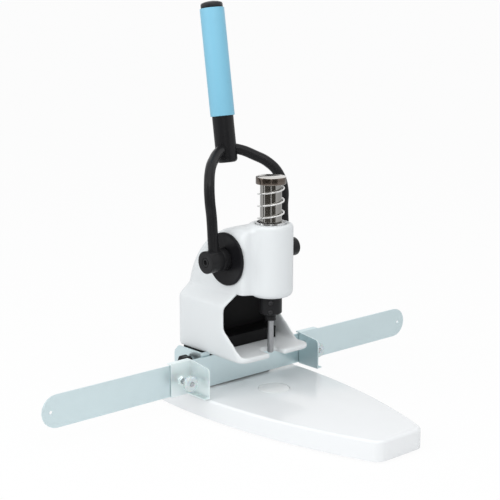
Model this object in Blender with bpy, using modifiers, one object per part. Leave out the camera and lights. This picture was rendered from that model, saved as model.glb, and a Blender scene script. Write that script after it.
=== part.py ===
"""Bench paper drill with a forked lever, a hollow drill and a sliding ruler. Metres, +Z up."""
import math
import bmesh
import bpy
from mathutils import Euler, Matrix, Vector

# Clearances
GAP = 0.0003
LOOSE_GAP = 0.0006
OVERRUN = 0.002
WELD_DISTANCE = 0.00001

# Drill axis, seen from above
DRILL_Y = 0.034

# Base
BASE_FRONT_Y = -0.134
BASE_LENGTH = 0.268
BASE_HALF_WIDTH = 0.0685
BASE_WIDEST_Y = 0.074
BASE_SIDE_RADIUS = 0.546
BASE_BOTTOM_Z = 0.0015
BASE_HEIGHT = 0.0185
BASE_TOP_ROUND = 0.0028
BASE_FOOT_CHAMFER = 0.0008
BASE_FRONT_CORNER = 0.011
BASE_REAR_CORNER = 0.025
BASE_RIM = 0.0035

# Base plate, feet and frame bolts
PLATE_THICKNESS = 0.002
FOOT_RADIUS = 0.008
FOOT_HEIGHT = 0.003
FOOT_TAPER = 0.0008
FOOT_EDGE_DISTANCE = 0.016
BOLT_RADIUS = 0.003
BOLT_HEAD_RADIUS = 0.005
BOLT_HEAD_HEIGHT = 0.005
BOLT_LENGTH = 0.024
BOLT_X = 0.036
BOLT_INSET = 0.006

# Cutting mat
MAT_RADIUS = 0.015
MAT_THICKNESS = 0.0022
MAT_X = 0.002
MAT_FORWARD = 0.003

# Housing
WALL = 0.003
COLUMN_HALF_WIDTH = 0.044
COLUMN_REAR_Y = 0.1215
COLUMN_BOTTOM_Z = 0.054
COLUMN_TOP_Z = 0.1035
COLUMN_CORNER = 0.008
LIP_FRONT_Y = 0.024
LIP_THICKNESS = 0.004
LIP_CORNER = 0.010
LIP_SLOT_RADIUS = 0.009
HEAD_HALF_WIDTH = 0.033
HEAD_FRONT_Y = 0.0346
HEAD_BOTTOM_Z = 0.111
HEAD_SHOULDER_Z = 0.114
HEAD_TOP_Z = 0.177
HEAD_BACK_RADIUS = 0.0785
HEAD_BACK_SHARE = 0.94
HEAD_SIDE_ROUND = 0.012
HEAD_FRONT_CORNER = 0.005
NOSE_RADIUS = 0.021
NOSE_TOP_Z = 0.180
NOSE_TOP_ROUND = 0.003
NOSE_BOTTOM_ROUND = 0.006
THROAT_CHEEK_Y = 0.0357
THROAT_CHEEK_Z = 0.0668
THROAT_BACK_Y = 0.0525
THROAT_BACK_LOW_Z = 0.0812
THROAT_BACK_HIGH_Z = 0.0979
THROAT_TOP_Y = 0.046
THROAT_TOP_Z = 0.1147
THROAT_CORNER = 0.004

# Rear cover and the screws of the lip
COVER_HALF_WIDTH = 0.034
COVER_BOTTOM_Z = 0.059
COVER_TOP_Z = 0.101
COVER_THICKNESS = 0.002
COVER_CORNER = 0.005
COVER_OVERLAP = 0.004
LIP_SCREW_X = 0.026
LIP_SCREW_RADIUS = 0.002
LIP_SCREW_HEAD_RADIUS = 0.0038
LIP_SCREW_HEAD_HEIGHT = 0.0012
LIP_SCREW_LENGTH = 0.009

# Frame casting inside the housing
FRAME_SIDE_GAP = 0.0007
FRAME_BACK_GAP = 0.0012
FRAME_HEAD_HALF_WIDTH = 0.0237
FRAME_FOOT_Y = 0.080
FRAME_FOOT_REAR_Y = 0.115
TOE_FRONT_Y = 0.061
TOE_TOP_Z = 0.0695
PILLAR_FRONT_Y = 0.083
ARM_FRONT_Y = 0.038
ARM_BOTTOM_Z = 0.115
ARM_TOP_Z = 0.166
ARM_SETBACK = 0.001
BARREL_RADIUS = 0.0177
BARREL_TOP_Z = 0.168
SHAFT_BOSS_RADIUS = 0.016
FRAME_POCKET_SIDE = 0.009
FRAME_POCKET_FLOOR = 0.006
FRAME_POCKET_FRONT = 0.010
FRAME_POCKET_TOP_Z = 0.094
CHAMBER_HALF_WIDTH = 0.008
CHAMBER_CLEARANCE = 0.0008

# Quill with its rack, and pinion
STROKE = 0.0349
MODULE = 0.00125
PINION_TEETH = 26
PRESSURE_ANGLE = math.radians(20)
DEDENDUM_SHARE = 1.25
BACKLASH = 0.0005
PINION_HALF_WIDTH = 0.006
PINION_LIFT = 0.1464
RACK_LINE = 0.00845
RACK_EXTRA_TEETH = 2
QUILL_RADIUS = 0.0101
QUILL_BORE = 0.0056
QUILL_BOTTOM_Z = 0.1151
CAP_RADIUS = 0.0141
CAP_BOTTOM_Z = 0.2166
CAP_HEIGHT = 0.0069
CAP_SEAT = 0.004
CAP_EDGE = 0.0009
BUSH_RADIUS = 0.0125
UPPER_BUSH_LENGTH = 0.0075
LOWER_BUSH_LENGTH = 0.0115
BUSH_TOP_DROP = 0.0005

# Spindle, groove and guide pin
SPINDLE_RADIUS = 0.0053
SPINDLE_TOP_Z = 0.214
SPINDLE_BORE = 0.0018
GROOVE_DEPTH_RADIUS = 0.005
GROOVE_TUBE = 0.0018
GROOVE_POINTS_PER_TURN = 18
PIN_Z = 0.131
PIN_TIP_RADIUS = 0.00125
PIN_BODY_RADIUS = 0.0025
PIN_TIP_X = 0.0044
PIN_LENGTH = 0.0128
SLOT_SIDE_CLEARANCE = 0.0003
RING_RADIUS = 0.0078
RING_THICKNESS = 0.0015
RING_GROOVE_RADIUS = 0.0046
RING_Z = 0.2091
WASHER_RADIUS = 0.010
WASHER_THICKNESS = 0.001

# Chuck and hollow drill
CHUCK_RADIUS = 0.0108
CHUCK_BOTTOM_Z = 0.0935
CHUCK_TOP_Z = 0.1135
CHUCK_STEP_Z = 0.0999
SHANK_RADIUS = 0.004
SHANK_LENGTH = 0.0058
COLLAR_RADIUS = 0.0054
COLLAR_LENGTH = 0.0062
TUBE_RADIUS = 0.003
TUBE_BORE = 0.0021
TUBE_TIP_Z = 0.0552
TIP_BEVEL = 0.0012
SET_SCREW_RADIUS = 0.002
SET_SCREW_HEX_RADIUS = 0.001
SET_SCREW_LOW_Z = 0.0968
SET_SCREW_HIGH_Z = 0.1055
SET_SCREW_TURN = math.radians(-132)

# Quill spring and its cup
SPRING_OUTER_RADIUS = 0.0128
SPRING_WIRE = 0.0016
SPRING_PITCH = 0.0113
SPRING_START = math.radians(90)
SPRING_POINTS_PER_TURN = 10
CUP_RADIUS = 0.0142
CUP_WALL = 0.001
CUP_FLOOR = 0.0012
CUP_RIM_Z = 0.1812
CUP_BORE = 0.0105

# Lever
LEAN = math.radians(8.5)
LEVER_SWING = math.radians(123.05)
SHAFT_RADIUS = 0.006
SHAFT_BUSH_RADIUS = 0.008
KEY_WIDTH = 0.003
KEY_HEIGHT = 0.003
LEFT_DISC_RADIUS = 0.025
LEFT_DISC_OUTER_X = 0.0356
RIGHT_DISC_RADIUS = 0.018
RIGHT_DISC_OUTER_X = 0.0343
DISC_BEVEL = 0.0007
LEFT_HUB_RADIUS = 0.0105
LEFT_HUB_END_X = 0.0583
RIGHT_HUB_RADIUS = 0.009
RIGHT_HUB_END_X = 0.053
HUB_END_BEVEL = 0.001
HUB_WEB = 0.0017
HUB_SCREW_RADIUS = 0.0025
HUB_SCREW_HEAD_RADIUS = 0.0042
HUB_SCREW_HEAD_HEIGHT = 0.003
HUB_SCREW_LENGTH = 0.014
FORK_RADIUS = 0.005
LEFT_FORK_X = 0.0485
RIGHT_FORK_X = 0.0405
FORK_FOOT = 0.007
FORK_FOOT_TOP = 0.013
FORK_FORWARD = 0.0017
FORK_RISE = 0.101
GRIP_BACK = 0.0247
GRIP_TUBE_RADIUS = 0.0102
GRIP_TUBE_WALL = 0.002
GRIP_TUBE_FLOOR = 0.002
GRIP_TUBE_BOTTOM = 0.0875
GRIP_TUBE_TOP = 0.2332
GRIP_TUBE_ROUND = 0.004
SLEEVE_RADIUS = 0.0116
SLEEVE_BOTTOM = 0.1318
SLEEVE_EDGE = 0.0009
END_CAP_RADIUS = 0.0105
END_CAP_SIDE = 0.003
END_CAP_ROUND = 0.0018
END_CAP_DOME = 0.0015
END_CAP_PLUG = 0.010

# Ruler and its carriage
RULER_HALF_LENGTH = 0.229
RULER_FRONT_Y = 0.0715
RULER_THICKNESS = 0.0015
RULER_BOTTOM_Z = 0.0215
RULER_HEIGHT = 0.030
RULER_HOLE_RADIUS = 0.00175
RULER_HOLE_INSET = 0.009
ARM_INNER_X = 0.0505
ARM_THICKNESS = 0.002
ARM_LOW_Z = 0.032
ARM_HEIGHT = 0.021
ARM_LENGTH = 0.041
ARM_REAR_CORNER = 0.006
ARM_SLOT_FRONT_Y = 0.078
ARM_SLOT_LENGTH = 0.030
ARM_SLOT_HEIGHT = 0.006
ARM_FLANGE_INNER_X = 0.042
BOSS_RADIUS = 0.007
BOSS_Y = 0.089
KNOB_SCREW_RADIUS = 0.0025
KNOB_SCREW_DEPTH = 0.009
KNOB_WASHER_RADIUS = 0.0065
KNOB_WASHER_THICKNESS = 0.001
KNOB_RADIUS = 0.009
KNOB_LOBES = 6
KNOB_LOBE_SHARE = 0.14
KNOB_THICKNESS = 0.010
KNOB_EDGE = 0.0015
GUIDE_HEAD_RADIUS = 0.005
GUIDE_HEAD_THICKNESS = 0.0035

# Position stops
STOP_SHEET = 0.0012
LEFT_STOP_X = 0.066
RIGHT_STOP_X = 0.0725
STOP_LENGTH = 0.025
STOP_DEPTH = 0.026
STOP_BOTTOM_Z = 0.0207
STOP_HEIGHT = 0.0288
STOP_CORNER = 0.004
STOP_FLANGE = 0.006
STOP_HOOK_DEPTH = 0.005
STOP_SETBACK = 0.0002
STOP_SCREW_INSET = 0.0125
STOP_SCREW_Z = 0.035
STOP_SCREW_RADIUS = 0.002
STOP_SCREW_LENGTH = 0.017
STOP_NUT_RADIUS = 0.0042
STOP_NUT_THICKNESS = 0.0025
STOP_DISC_RADIUS = 0.0075
STOP_DISC_THICKNESS = 0.005
STOP_DISC_EDGE = 0.0012

# Numbers of sides of round pieces
FINE = 32
ROUND = 20
SMALL = 10
CORNER_STEPS = 3
BASE_SIDE_STEPS = 10
HEAD_BACK_STEPS = 10
FRAME_BACK_STEPS = 8
FLANK_STEPS = 2
FORK_SIDE_STEPS = 2
SPRING_SIDE_STEPS = 1
BEND_STEPS = 3
KNOB_LOBE_STEPS = 8
HEX = 6
SMOOTH_ANGLE = math.radians(35)

# Places worked out from the sizes above
PITCH_RADIUS = MODULE * PINION_TEETH / 2
TOOTH_PITCH = math.pi * MODULE
PIVOT = Vector((0, DRILL_Y + RACK_LINE + PITCH_RADIUS, PINION_LIFT))
DRILL_AXIS = Vector((0, DRILL_Y, 0))
BASE_TOP_Z = BASE_BOTTOM_Z + BASE_HEIGHT
BASE_REAR_Y = BASE_FRONT_Y + BASE_LENGTH
LIP_TOP_Z = COLUMN_BOTTOM_Z + LIP_THICKNESS
HEAD_BACK_CENTRE_Z = HEAD_TOP_Z - HEAD_BACK_RADIUS
HEAD_BACK_CENTRE_Y = COLUMN_REAR_Y - math.sqrt(HEAD_BACK_RADIUS ** 2 - (HEAD_SHOULDER_Z - HEAD_BACK_CENTRE_Z) ** 2)
PLATE_BOTTOM_Z = FOOT_HEIGHT + GAP
PLATE_TOP_Z = PLATE_BOTTOM_Z + PLATE_THICKNESS
HEAD_INSIDE = HEAD_HALF_WIDTH - WALL - GAP
RULER_BACK_Y = RULER_FRONT_Y + RULER_THICKNESS
RULER_TOP_Z = RULER_BOTTOM_Z + RULER_HEIGHT
ARM_OUTER_X = ARM_INNER_X + ARM_THICKNESS
ARM_SLOT_Z = ARM_LOW_Z + ARM_HEIGHT / 2
CUP_FLOOR_Z = BARREL_TOP_Z + GAP
TURN_PER_LIFT = 2 * math.pi / STROKE


def clear_scene():
    for item in list(bpy.data.objects):
        bpy.data.objects.remove(item, do_unlink=True)


def new_collection(name):
    collection = bpy.data.collections.new(name)
    bpy.context.scene.collection.children.link(collection)
    return collection


def new_material(name, colour, metallic, roughness):
    material = bpy.data.materials.new(name)
    material.use_nodes = True
    shader = material.node_tree.nodes["Principled BSDF"]
    shader.inputs["Base Color"].default_value = (*colour, 1)
    shader.inputs["Metallic"].default_value = metallic
    shader.inputs["Roughness"].default_value = roughness
    material.diffuse_color = (*colour, 1)
    return material


clear_scene()
PARTS = new_collection("paper_drill")
CUTTERS = new_collection("cutters")

WHITE = new_material("white_gloss", (0.80, 0.82, 0.83), 0.0, 0.3)
BLACK = new_material("black_satin", (0.02, 0.02, 0.022), 0.0, 0.4)
CAST = new_material("black_casting", (0.025, 0.025, 0.028), 0.2, 0.55)
STEEL = new_material("ground_steel", (0.62, 0.62, 0.62), 1.0, 0.25)
CHROME = new_material("chrome", (0.75, 0.75, 0.76), 1.0, 0.1)
ZINC = new_material("zinc_sheet", (0.62, 0.70, 0.74), 1.0, 0.35)
BRONZE = new_material("bronze", (0.55, 0.38, 0.18), 1.0, 0.35)
BLUE = new_material("blue_grip", (0.22, 0.58, 0.77), 0.0, 0.55)
RUBBER = new_material("rubber", (0.03, 0.03, 0.03), 0.0, 0.8)
MAT_WHITE = new_material("cutting_mat", (0.78, 0.80, 0.80), 0.0, 0.5)
PALE = new_material("pale_plastic", (0.82, 0.88, 0.88), 0.0, 0.3)


def add_object(name, mesh, material):
    """Puts a mesh in the scene as one named piece, or as a cutter when no material is given."""
    item = bpy.data.objects.new(name, mesh)
    if material is None:
        CUTTERS.objects.link(item)
        item.hide_render = True
        item.display_type = "WIRE"
    else:
        mesh.materials.append(material)
        PARTS.objects.link(item)
    return item


def mesh_from(build, name):
    """Runs a bmesh builder and returns the finished mesh."""
    work = bmesh.new()
    build(work)
    mesh = bpy.data.meshes.new(name)
    work.to_mesh(mesh)
    work.free()
    return mesh


def smooth(item):
    item.data.shade_smooth()
    item.data.set_sharp_from_angle(angle=SMOOTH_ANGLE)
    return item


def box(name, low, high, material=None):
    """Makes a box between two corners."""
    low = Vector(low)
    high = Vector(high)
    size = high - low

    def build(work):
        bmesh.ops.create_cube(work, size=1.0, matrix=Matrix.Diagonal((*size, 1)))

    item = add_object(name, mesh_from(build, name), material)
    item.location = (low + high) / 2
    return item


def rod(name, radius, start, end, material=None, sides=SMALL):
    """Makes a round rod between two points."""
    start = Vector(start)
    end = Vector(end)
    along = end - start

    def build(work):
        bmesh.ops.create_cone(work, cap_ends=True, segments=sides, radius1=radius, radius2=radius,
                              depth=along.length)

    item = add_object(name, mesh_from(build, name), material)
    item.location = (start + end) / 2
    item.rotation_euler = along.to_track_quat("Z", "Y").to_euler()
    return smooth(item) if material else item


AXIS_TURNS = {"x": (0, math.pi / 2, 0), "y": (math.pi / 2, 0, 0), "z": (0, 0, 0)}


def turned(name, profile, centre, material=None, axis="z", steps=ROUND, ring=False, flip=False):
    """Turns a profile of (radius, height) points about an axis. The profile runs down its outer side."""
    mesh = bpy.data.meshes.new(name)
    points = [(radius, 0, height) for radius, height in profile]
    edges = [(index, index + 1) for index in range(len(points) - 1)]
    if ring:
        edges.append((len(points) - 1, 0))
    mesh.from_pydata(points, edges, [])
    item = add_object(name, mesh, material)
    screw = item.modifiers.new("turn", "SCREW")
    screw.steps = steps
    screw.render_steps = steps
    screw.use_merge_vertices = True
    screw.merge_threshold = WELD_DISTANCE
    screw.use_smooth_shade = True
    item.location = centre
    turn = list(AXIS_TURNS[axis])
    if flip:
        turn[1 if axis == "x" else 0] += math.pi
    item.rotation_euler = turn
    return item


PLANE_TURNS = {
    "plan": (0, 0, 0),
    "side": (math.pi / 2, 0, math.pi / 2),
    "front": (math.pi / 2, 0, 0),
}
PLANE_AXES = {"plan": Vector((0, 0, 1)), "side": Vector((1, 0, 0)), "front": Vector((0, 1, 0))}


def curve_mesh(item, name):
    """Turns a curve object into a mesh with welded caps, and removes the curve."""
    bpy.context.view_layer.update()
    graph = bpy.context.evaluated_depsgraph_get()
    mesh = bpy.data.meshes.new_from_object(item.evaluated_get(graph))
    mesh.name = name
    work = bmesh.new()
    work.from_mesh(mesh)
    bmesh.ops.remove_doubles(work, verts=work.verts, dist=WELD_DISTANCE)
    bmesh.ops.recalc_face_normals(work, faces=work.faces)
    work.to_mesh(mesh)
    work.free()
    mesh.materials.clear()
    bpy.data.objects.remove(item, do_unlink=True)
    return mesh


def flat(name, outlines, low, high, plane="plan", material=None):
    """Extrudes flat outlines, holes as later outlines, between two heights along the plane's axis."""
    curve = bpy.data.curves.new(name, "CURVE")
    curve.dimensions = "2D"
    curve.fill_mode = "BOTH"
    curve.extrude = abs(high - low) / 2
    for outline in outlines:
        spline = curve.splines.new("POLY")
        spline.points.add(len(outline) - 1)
        for point, (across, up) in zip(spline.points, outline):
            point.co = (across, up, 0, 1)
        spline.use_cyclic_u = True
    holder = bpy.data.objects.new(name, curve)
    bpy.context.scene.collection.objects.link(holder)
    item = add_object(name, curve_mesh(holder, name), material)
    item.location = PLANE_AXES[plane] * (low + high) / 2
    item.rotation_euler = PLANE_TURNS[plane]
    return item


def tube(name, path, radius, material=None, side_steps=FORK_SIDE_STEPS, bend_steps=0):
    """Sweeps a round bar along points, straight from one to the next or in bends of some steps."""
    curve = bpy.data.curves.new(name, "CURVE")
    curve.dimensions = "3D"
    curve.bevel_depth = radius
    curve.bevel_resolution = side_steps
    curve.use_fill_caps = True
    curve.resolution_u = max(bend_steps, 1)
    spline = curve.splines.new("BEZIER" if bend_steps else "POLY")
    if bend_steps:
        spline.bezier_points.add(len(path) - 1)
        for point, place in zip(spline.bezier_points, path):
            point.co = place
            point.handle_left_type = "AUTO"
            point.handle_right_type = "AUTO"
    else:
        spline.points.add(len(path) - 1)
        for point, place in zip(spline.points, path):
            point.co = (*place, 1)
    holder = bpy.data.objects.new(name, curve)
    bpy.context.scene.collection.objects.link(holder)
    item = add_object(name, curve_mesh(holder, name), material)
    return smooth(item) if material else item


def loft(name, sections, material=None):
    """Joins equal rings of points, lowest first and each one anticlockwise from above, with end caps."""
    def build(work):
        rings = [[work.verts.new(point) for point in section] for section in sections]
        work.faces.new(list(reversed(rings[0])))
        work.faces.new(rings[-1])
        for lower, upper in zip(rings, rings[1:]):
            for index in range(len(lower)):
                after = (index + 1) % len(lower)
                work.faces.new((lower[index], lower[after], upper[after], upper[index]))

    return add_object(name, mesh_from(build, name), material)


def combine(item, other, operation):
    """Cuts the other object out of the item, or joins it on."""
    step = item.modifiers.new(other.name, "BOOLEAN")
    step.operation = operation
    step.solver = "EXACT"
    step.object = other
    return item


def cut(item, *cutters):
    for cutter in cutters:
        combine(item, cutter, "DIFFERENCE")
    return item


def join(item, *others):
    for other in others:
        combine(item, other, "UNION")
    return item


def arc(centre, radius, start, end, steps=CORNER_STEPS):
    """Points of an arc between two angles in degrees."""
    places = []
    for index in range(steps + 1):
        angle = math.radians(start + (end - start) * index / steps)
        places.append((centre[0] + radius * math.cos(angle), centre[1] + radius * math.sin(angle)))
    return places


def rounded(corners, steps=CORNER_STEPS):
    """An outline whose corners, given as (x, y, radius), are rounded."""
    outline = []
    count = len(corners)
    for index, (across, up, radius) in enumerate(corners):
        here = Vector((across, up))
        if not radius:
            outline.append(tuple(here))
            continue
        before = (Vector(corners[index - 1][:2]) - here).normalized()
        after = (Vector(corners[(index + 1) % count][:2]) - here).normalized()
        half = before.angle(after) / 2
        reach = radius / math.tan(half)
        centre = here + (before + after).normalized() * (radius / math.sin(half))
        first = here + before * reach - centre
        last = here + after * reach - centre
        sweep = first.angle_signed(last)
        for step in range(steps + 1):
            turn = Matrix.Rotation(-sweep * step / steps, 2)
            outline.append(tuple(centre + turn @ first))
    return outline


def circle(centre, radius, sides=SMALL):
    return arc(centre, radius, 0, 360 * (sides - 1) / sides, sides - 1)


def slot_outline(start, end, radius, steps=SMALL // 2):
    """A slot along the first direction of its plane, with round ends."""
    return arc(end, radius, -90, 90, steps) + arc(start, radius, 90, 270, steps)


def inset(outline, distance):
    """Moves an outline inward along the normals of its corners."""
    moved = []
    count = len(outline)
    for index, point in enumerate(outline):
        here = Vector(point)
        along = (Vector(outline[(index + 1) % count]) - here).normalized()
        back = (here - Vector(outline[index - 1])).normalized()
        tangent = (along + back).normalized()
        moved.append(tuple(here + Vector((-tangent.y, tangent.x)) * distance))
    return moved


def level(outline, height):
    return [(across, along, height) for across, along in outline]


def empty(name, place, turn=(0, 0, 0)):
    """A pivot on a joint's axis, which carries the pieces of one moving body."""
    pivot = bpy.data.objects.new(name, None)
    pivot.empty_display_size = WALL
    pivot.location = place
    pivot.rotation_euler = turn
    PARTS.objects.link(pivot)
    return pivot


def carry(pivot, *items):
    """Parents pieces made in world places to a pivot, which leaves them where they are."""
    turn = Euler(pivot.rotation_euler).to_matrix().to_4x4()
    frame = Matrix.Translation(pivot.location) @ turn
    for item in items:
        item.parent = pivot
        item.matrix_parent_inverse = frame.inverted()


def ride(pivot, *items):
    """Parents pieces, and what cuts them, whose places are counted from the pivot itself."""
    for item in items:
        item.parent = pivot
        for step in item.modifiers:
            if step.type == "BOOLEAN":
                step.object.parent = pivot


def base_half_width(along):
    rise = math.sqrt(BASE_SIDE_RADIUS ** 2 - (along - BASE_WIDEST_Y) ** 2)
    return BASE_HALF_WIDTH - (BASE_SIDE_RADIUS - rise)


def base_outline():
    """Plan of the base: straight front and rear edges, sides as one long arc each."""
    front = BASE_FRONT_Y + BASE_FRONT_CORNER
    rear = BASE_REAR_Y - BASE_REAR_CORNER
    stations = [front + (rear - front) * step / BASE_SIDE_STEPS for step in range(1, BASE_SIDE_STEPS)]
    right = [(base_half_width(along), along, 0) for along in stations]
    left = [(-across, along, 0) for across, along, _ in reversed(right)]
    front_x = base_half_width(BASE_FRONT_Y)
    rear_x = base_half_width(BASE_REAR_Y)
    corners = [(-front_x, BASE_FRONT_Y, BASE_FRONT_CORNER), (front_x, BASE_FRONT_Y, BASE_FRONT_CORNER)]
    corners += right
    corners += [(rear_x, BASE_REAR_Y, BASE_REAR_CORNER), (-rear_x, BASE_REAR_Y, BASE_REAR_CORNER)]
    return rounded(corners + left)


def bolt_places():
    for side in (-1, 1):
        yield side * BOLT_X, FRAME_FOOT_Y + BOLT_INSET
        yield side * BOLT_X, FRAME_FOOT_REAR_Y - BOLT_INSET


def make_base():
    outline = base_outline()
    sections = [level(inset(outline, BASE_FOOT_CHAMFER), BASE_BOTTOM_Z)]
    sections.append(level(outline, BASE_BOTTOM_Z + BASE_FOOT_CHAMFER))
    for step in range(CORNER_STEPS + 1):
        angle = math.pi / 2 * step / CORNER_STEPS
        drop = BASE_TOP_ROUND * (1 - math.sin(angle))
        inward = BASE_TOP_ROUND * (1 - math.cos(angle))
        sections.append(level(inset(outline, inward), BASE_TOP_Z - drop))
    base = smooth(loft("base", sections, WHITE))
    inner = inset(outline, BASE_RIM)
    recess = loft("base_recess", [level(inner, BASE_BOTTOM_Z - OVERRUN), level(inner, PLATE_TOP_Z + GAP)])
    mat_low = BASE_TOP_Z - MAT_THICKNESS - GAP
    centre = (MAT_X, DRILL_Y - MAT_FORWARD)
    pocket = rod("mat_pocket", MAT_RADIUS + GAP, (*centre, mat_low), (*centre, BASE_TOP_Z + OVERRUN), sides=FINE)
    cut(base, recess, pocket)
    for number, (across, along) in enumerate(bolt_places()):
        head_top = PLATE_TOP_Z + GAP + BOLT_HEAD_HEIGHT + GAP
        cut(base, rod(f"bolt_hole_{number}", BOLT_RADIUS + GAP, (across, along, PLATE_TOP_Z),
                      (across, along, BASE_TOP_Z + OVERRUN)))
        cut(base, rod(f"bolt_head_hole_{number}", BOLT_HEAD_RADIUS + GAP, (across, along, PLATE_TOP_Z),
                      (across, along, head_top)))
    plate_outline = inset(outline, BASE_RIM + GAP)
    loft("base_plate", [level(plate_outline, PLATE_BOTTOM_Z), level(plate_outline, PLATE_TOP_Z)], STEEL)
    places = {}
    for label, along in (("front", BASE_FRONT_Y + FOOT_EDGE_DISTANCE), ("rear", BASE_REAR_Y - FOOT_EDGE_DISTANCE)):
        reach = base_half_width(along) - FOOT_EDGE_DISTANCE
        places[f"foot_{label}_left"] = (-reach, along)
        places[f"foot_{label}_right"] = (reach, along)
    for name, place in places.items():
        profile = [(0, FOOT_HEIGHT), (FOOT_RADIUS, FOOT_HEIGHT), (FOOT_RADIUS - FOOT_TAPER, 0), (0, 0)]
        turned(name, profile, (*place, 0), RUBBER, steps=ROUND)
    for number, (across, along) in enumerate(bolt_places()):
        low = PLATE_TOP_Z + GAP
        neck = low + BOLT_HEAD_HEIGHT
        profile = [(0, low + BOLT_LENGTH), (BOLT_RADIUS, low + BOLT_LENGTH), (BOLT_RADIUS, neck),
                   (BOLT_HEAD_RADIUS, neck), (BOLT_HEAD_RADIUS, low), (0, low)]
        turned(f"frame_bolt_{number + 1}", profile, (across, along, 0), STEEL, steps=SMALL)


def make_mat():
    centre = Vector((MAT_X, DRILL_Y - MAT_FORWARD, BASE_TOP_Z - MAT_THICKNESS))
    pivot = empty("mat_pivot", centre)
    profile = [(0, MAT_THICKNESS), (MAT_RADIUS - GAP, MAT_THICKNESS), (MAT_RADIUS, MAT_THICKNESS - GAP),
               (MAT_RADIUS, 0), (0, 0)]
    ride(pivot, turned("cutting_mat", profile, (0, 0, 0), MAT_WHITE, steps=FINE))


def head_rear(height, grow):
    """Where the back of the head lies at a height, for a skin moved out by grow."""
    rise = height - HEAD_BACK_CENTRE_Z
    return HEAD_BACK_CENTRE_Y + math.sqrt(max((HEAD_BACK_RADIUS + grow) ** 2 - rise ** 2, 0))


def housing_sections(grow, bottom):
    """Rings of the column and head from the bottom up, moved inward when grow is negative.

    Both ends of the 45 degree shoulder go down with it, so that the wall stays as thick there.
    """
    shoulder_drop = grow * math.tan(math.pi / 8)

    def ring(height, half_width, front, rear, front_corner, rear_corner):
        half_width += grow
        outline = rounded([
            (-half_width, front - grow, max(front_corner + grow, WALL / 2)),
            (half_width, front - grow, max(front_corner + grow, WALL / 2)),
            (half_width, rear + grow, max(rear_corner + grow, WALL / 2)),
            (-half_width, rear + grow, max(rear_corner + grow, WALL / 2)),
        ])
        return level(outline, height)

    rings = [ring(height, COLUMN_HALF_WIDTH, LIP_FRONT_Y, COLUMN_REAR_Y, LIP_CORNER, COLUMN_CORNER)
             for height in (bottom, COLUMN_TOP_Z + shoulder_drop)]
    shoulder = HEAD_SHOULDER_Z + shoulder_drop
    start = math.asin((shoulder - HEAD_BACK_CENTRE_Z) / (HEAD_BACK_RADIUS + grow))
    for step in range(HEAD_BACK_STEPS + 1):
        angle = start + (math.pi / 2 - start) * HEAD_BACK_SHARE * step / HEAD_BACK_STEPS
        height = HEAD_BACK_CENTRE_Z + (HEAD_BACK_RADIUS + grow) * math.sin(angle)
        side_round = HEAD_SIDE_ROUND + grow
        into = max(height - (HEAD_BACK_CENTRE_Z + HEAD_BACK_RADIUS + grow - side_round), 0)
        drawn = side_round - math.sqrt(side_round ** 2 - into ** 2)
        rear = head_rear(height, grow) - grow
        corner = min(HEAD_SIDE_ROUND, (rear - HEAD_FRONT_Y) / 2 + grow)
        rings.append(ring(height, HEAD_HALF_WIDTH - drawn, HEAD_FRONT_Y, rear, HEAD_FRONT_CORNER, corner))
    return rings


def throat_outline():
    """Side view of the throat that opens to the front and to both sides."""
    front = LIP_FRONT_Y - NOSE_RADIUS
    cheek_foot = THROAT_CHEEK_Y - (THROAT_CHEEK_Z - LIP_TOP_Z)
    return rounded([
        (front, LIP_TOP_Z, 0),
        (cheek_foot, LIP_TOP_Z, 0),
        (THROAT_CHEEK_Y, THROAT_CHEEK_Z, THROAT_CORNER),
        (THROAT_BACK_Y, THROAT_BACK_LOW_Z, THROAT_CORNER),
        (THROAT_BACK_Y, THROAT_BACK_HIGH_Z, THROAT_CORNER),
        (THROAT_TOP_Y, THROAT_TOP_Z, 0),
        (HEAD_FRONT_Y + HEAD_FRONT_CORNER, HEAD_BOTTOM_Z, 0),
        (front, HEAD_BOTTOM_Z, 0),
    ])


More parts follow.
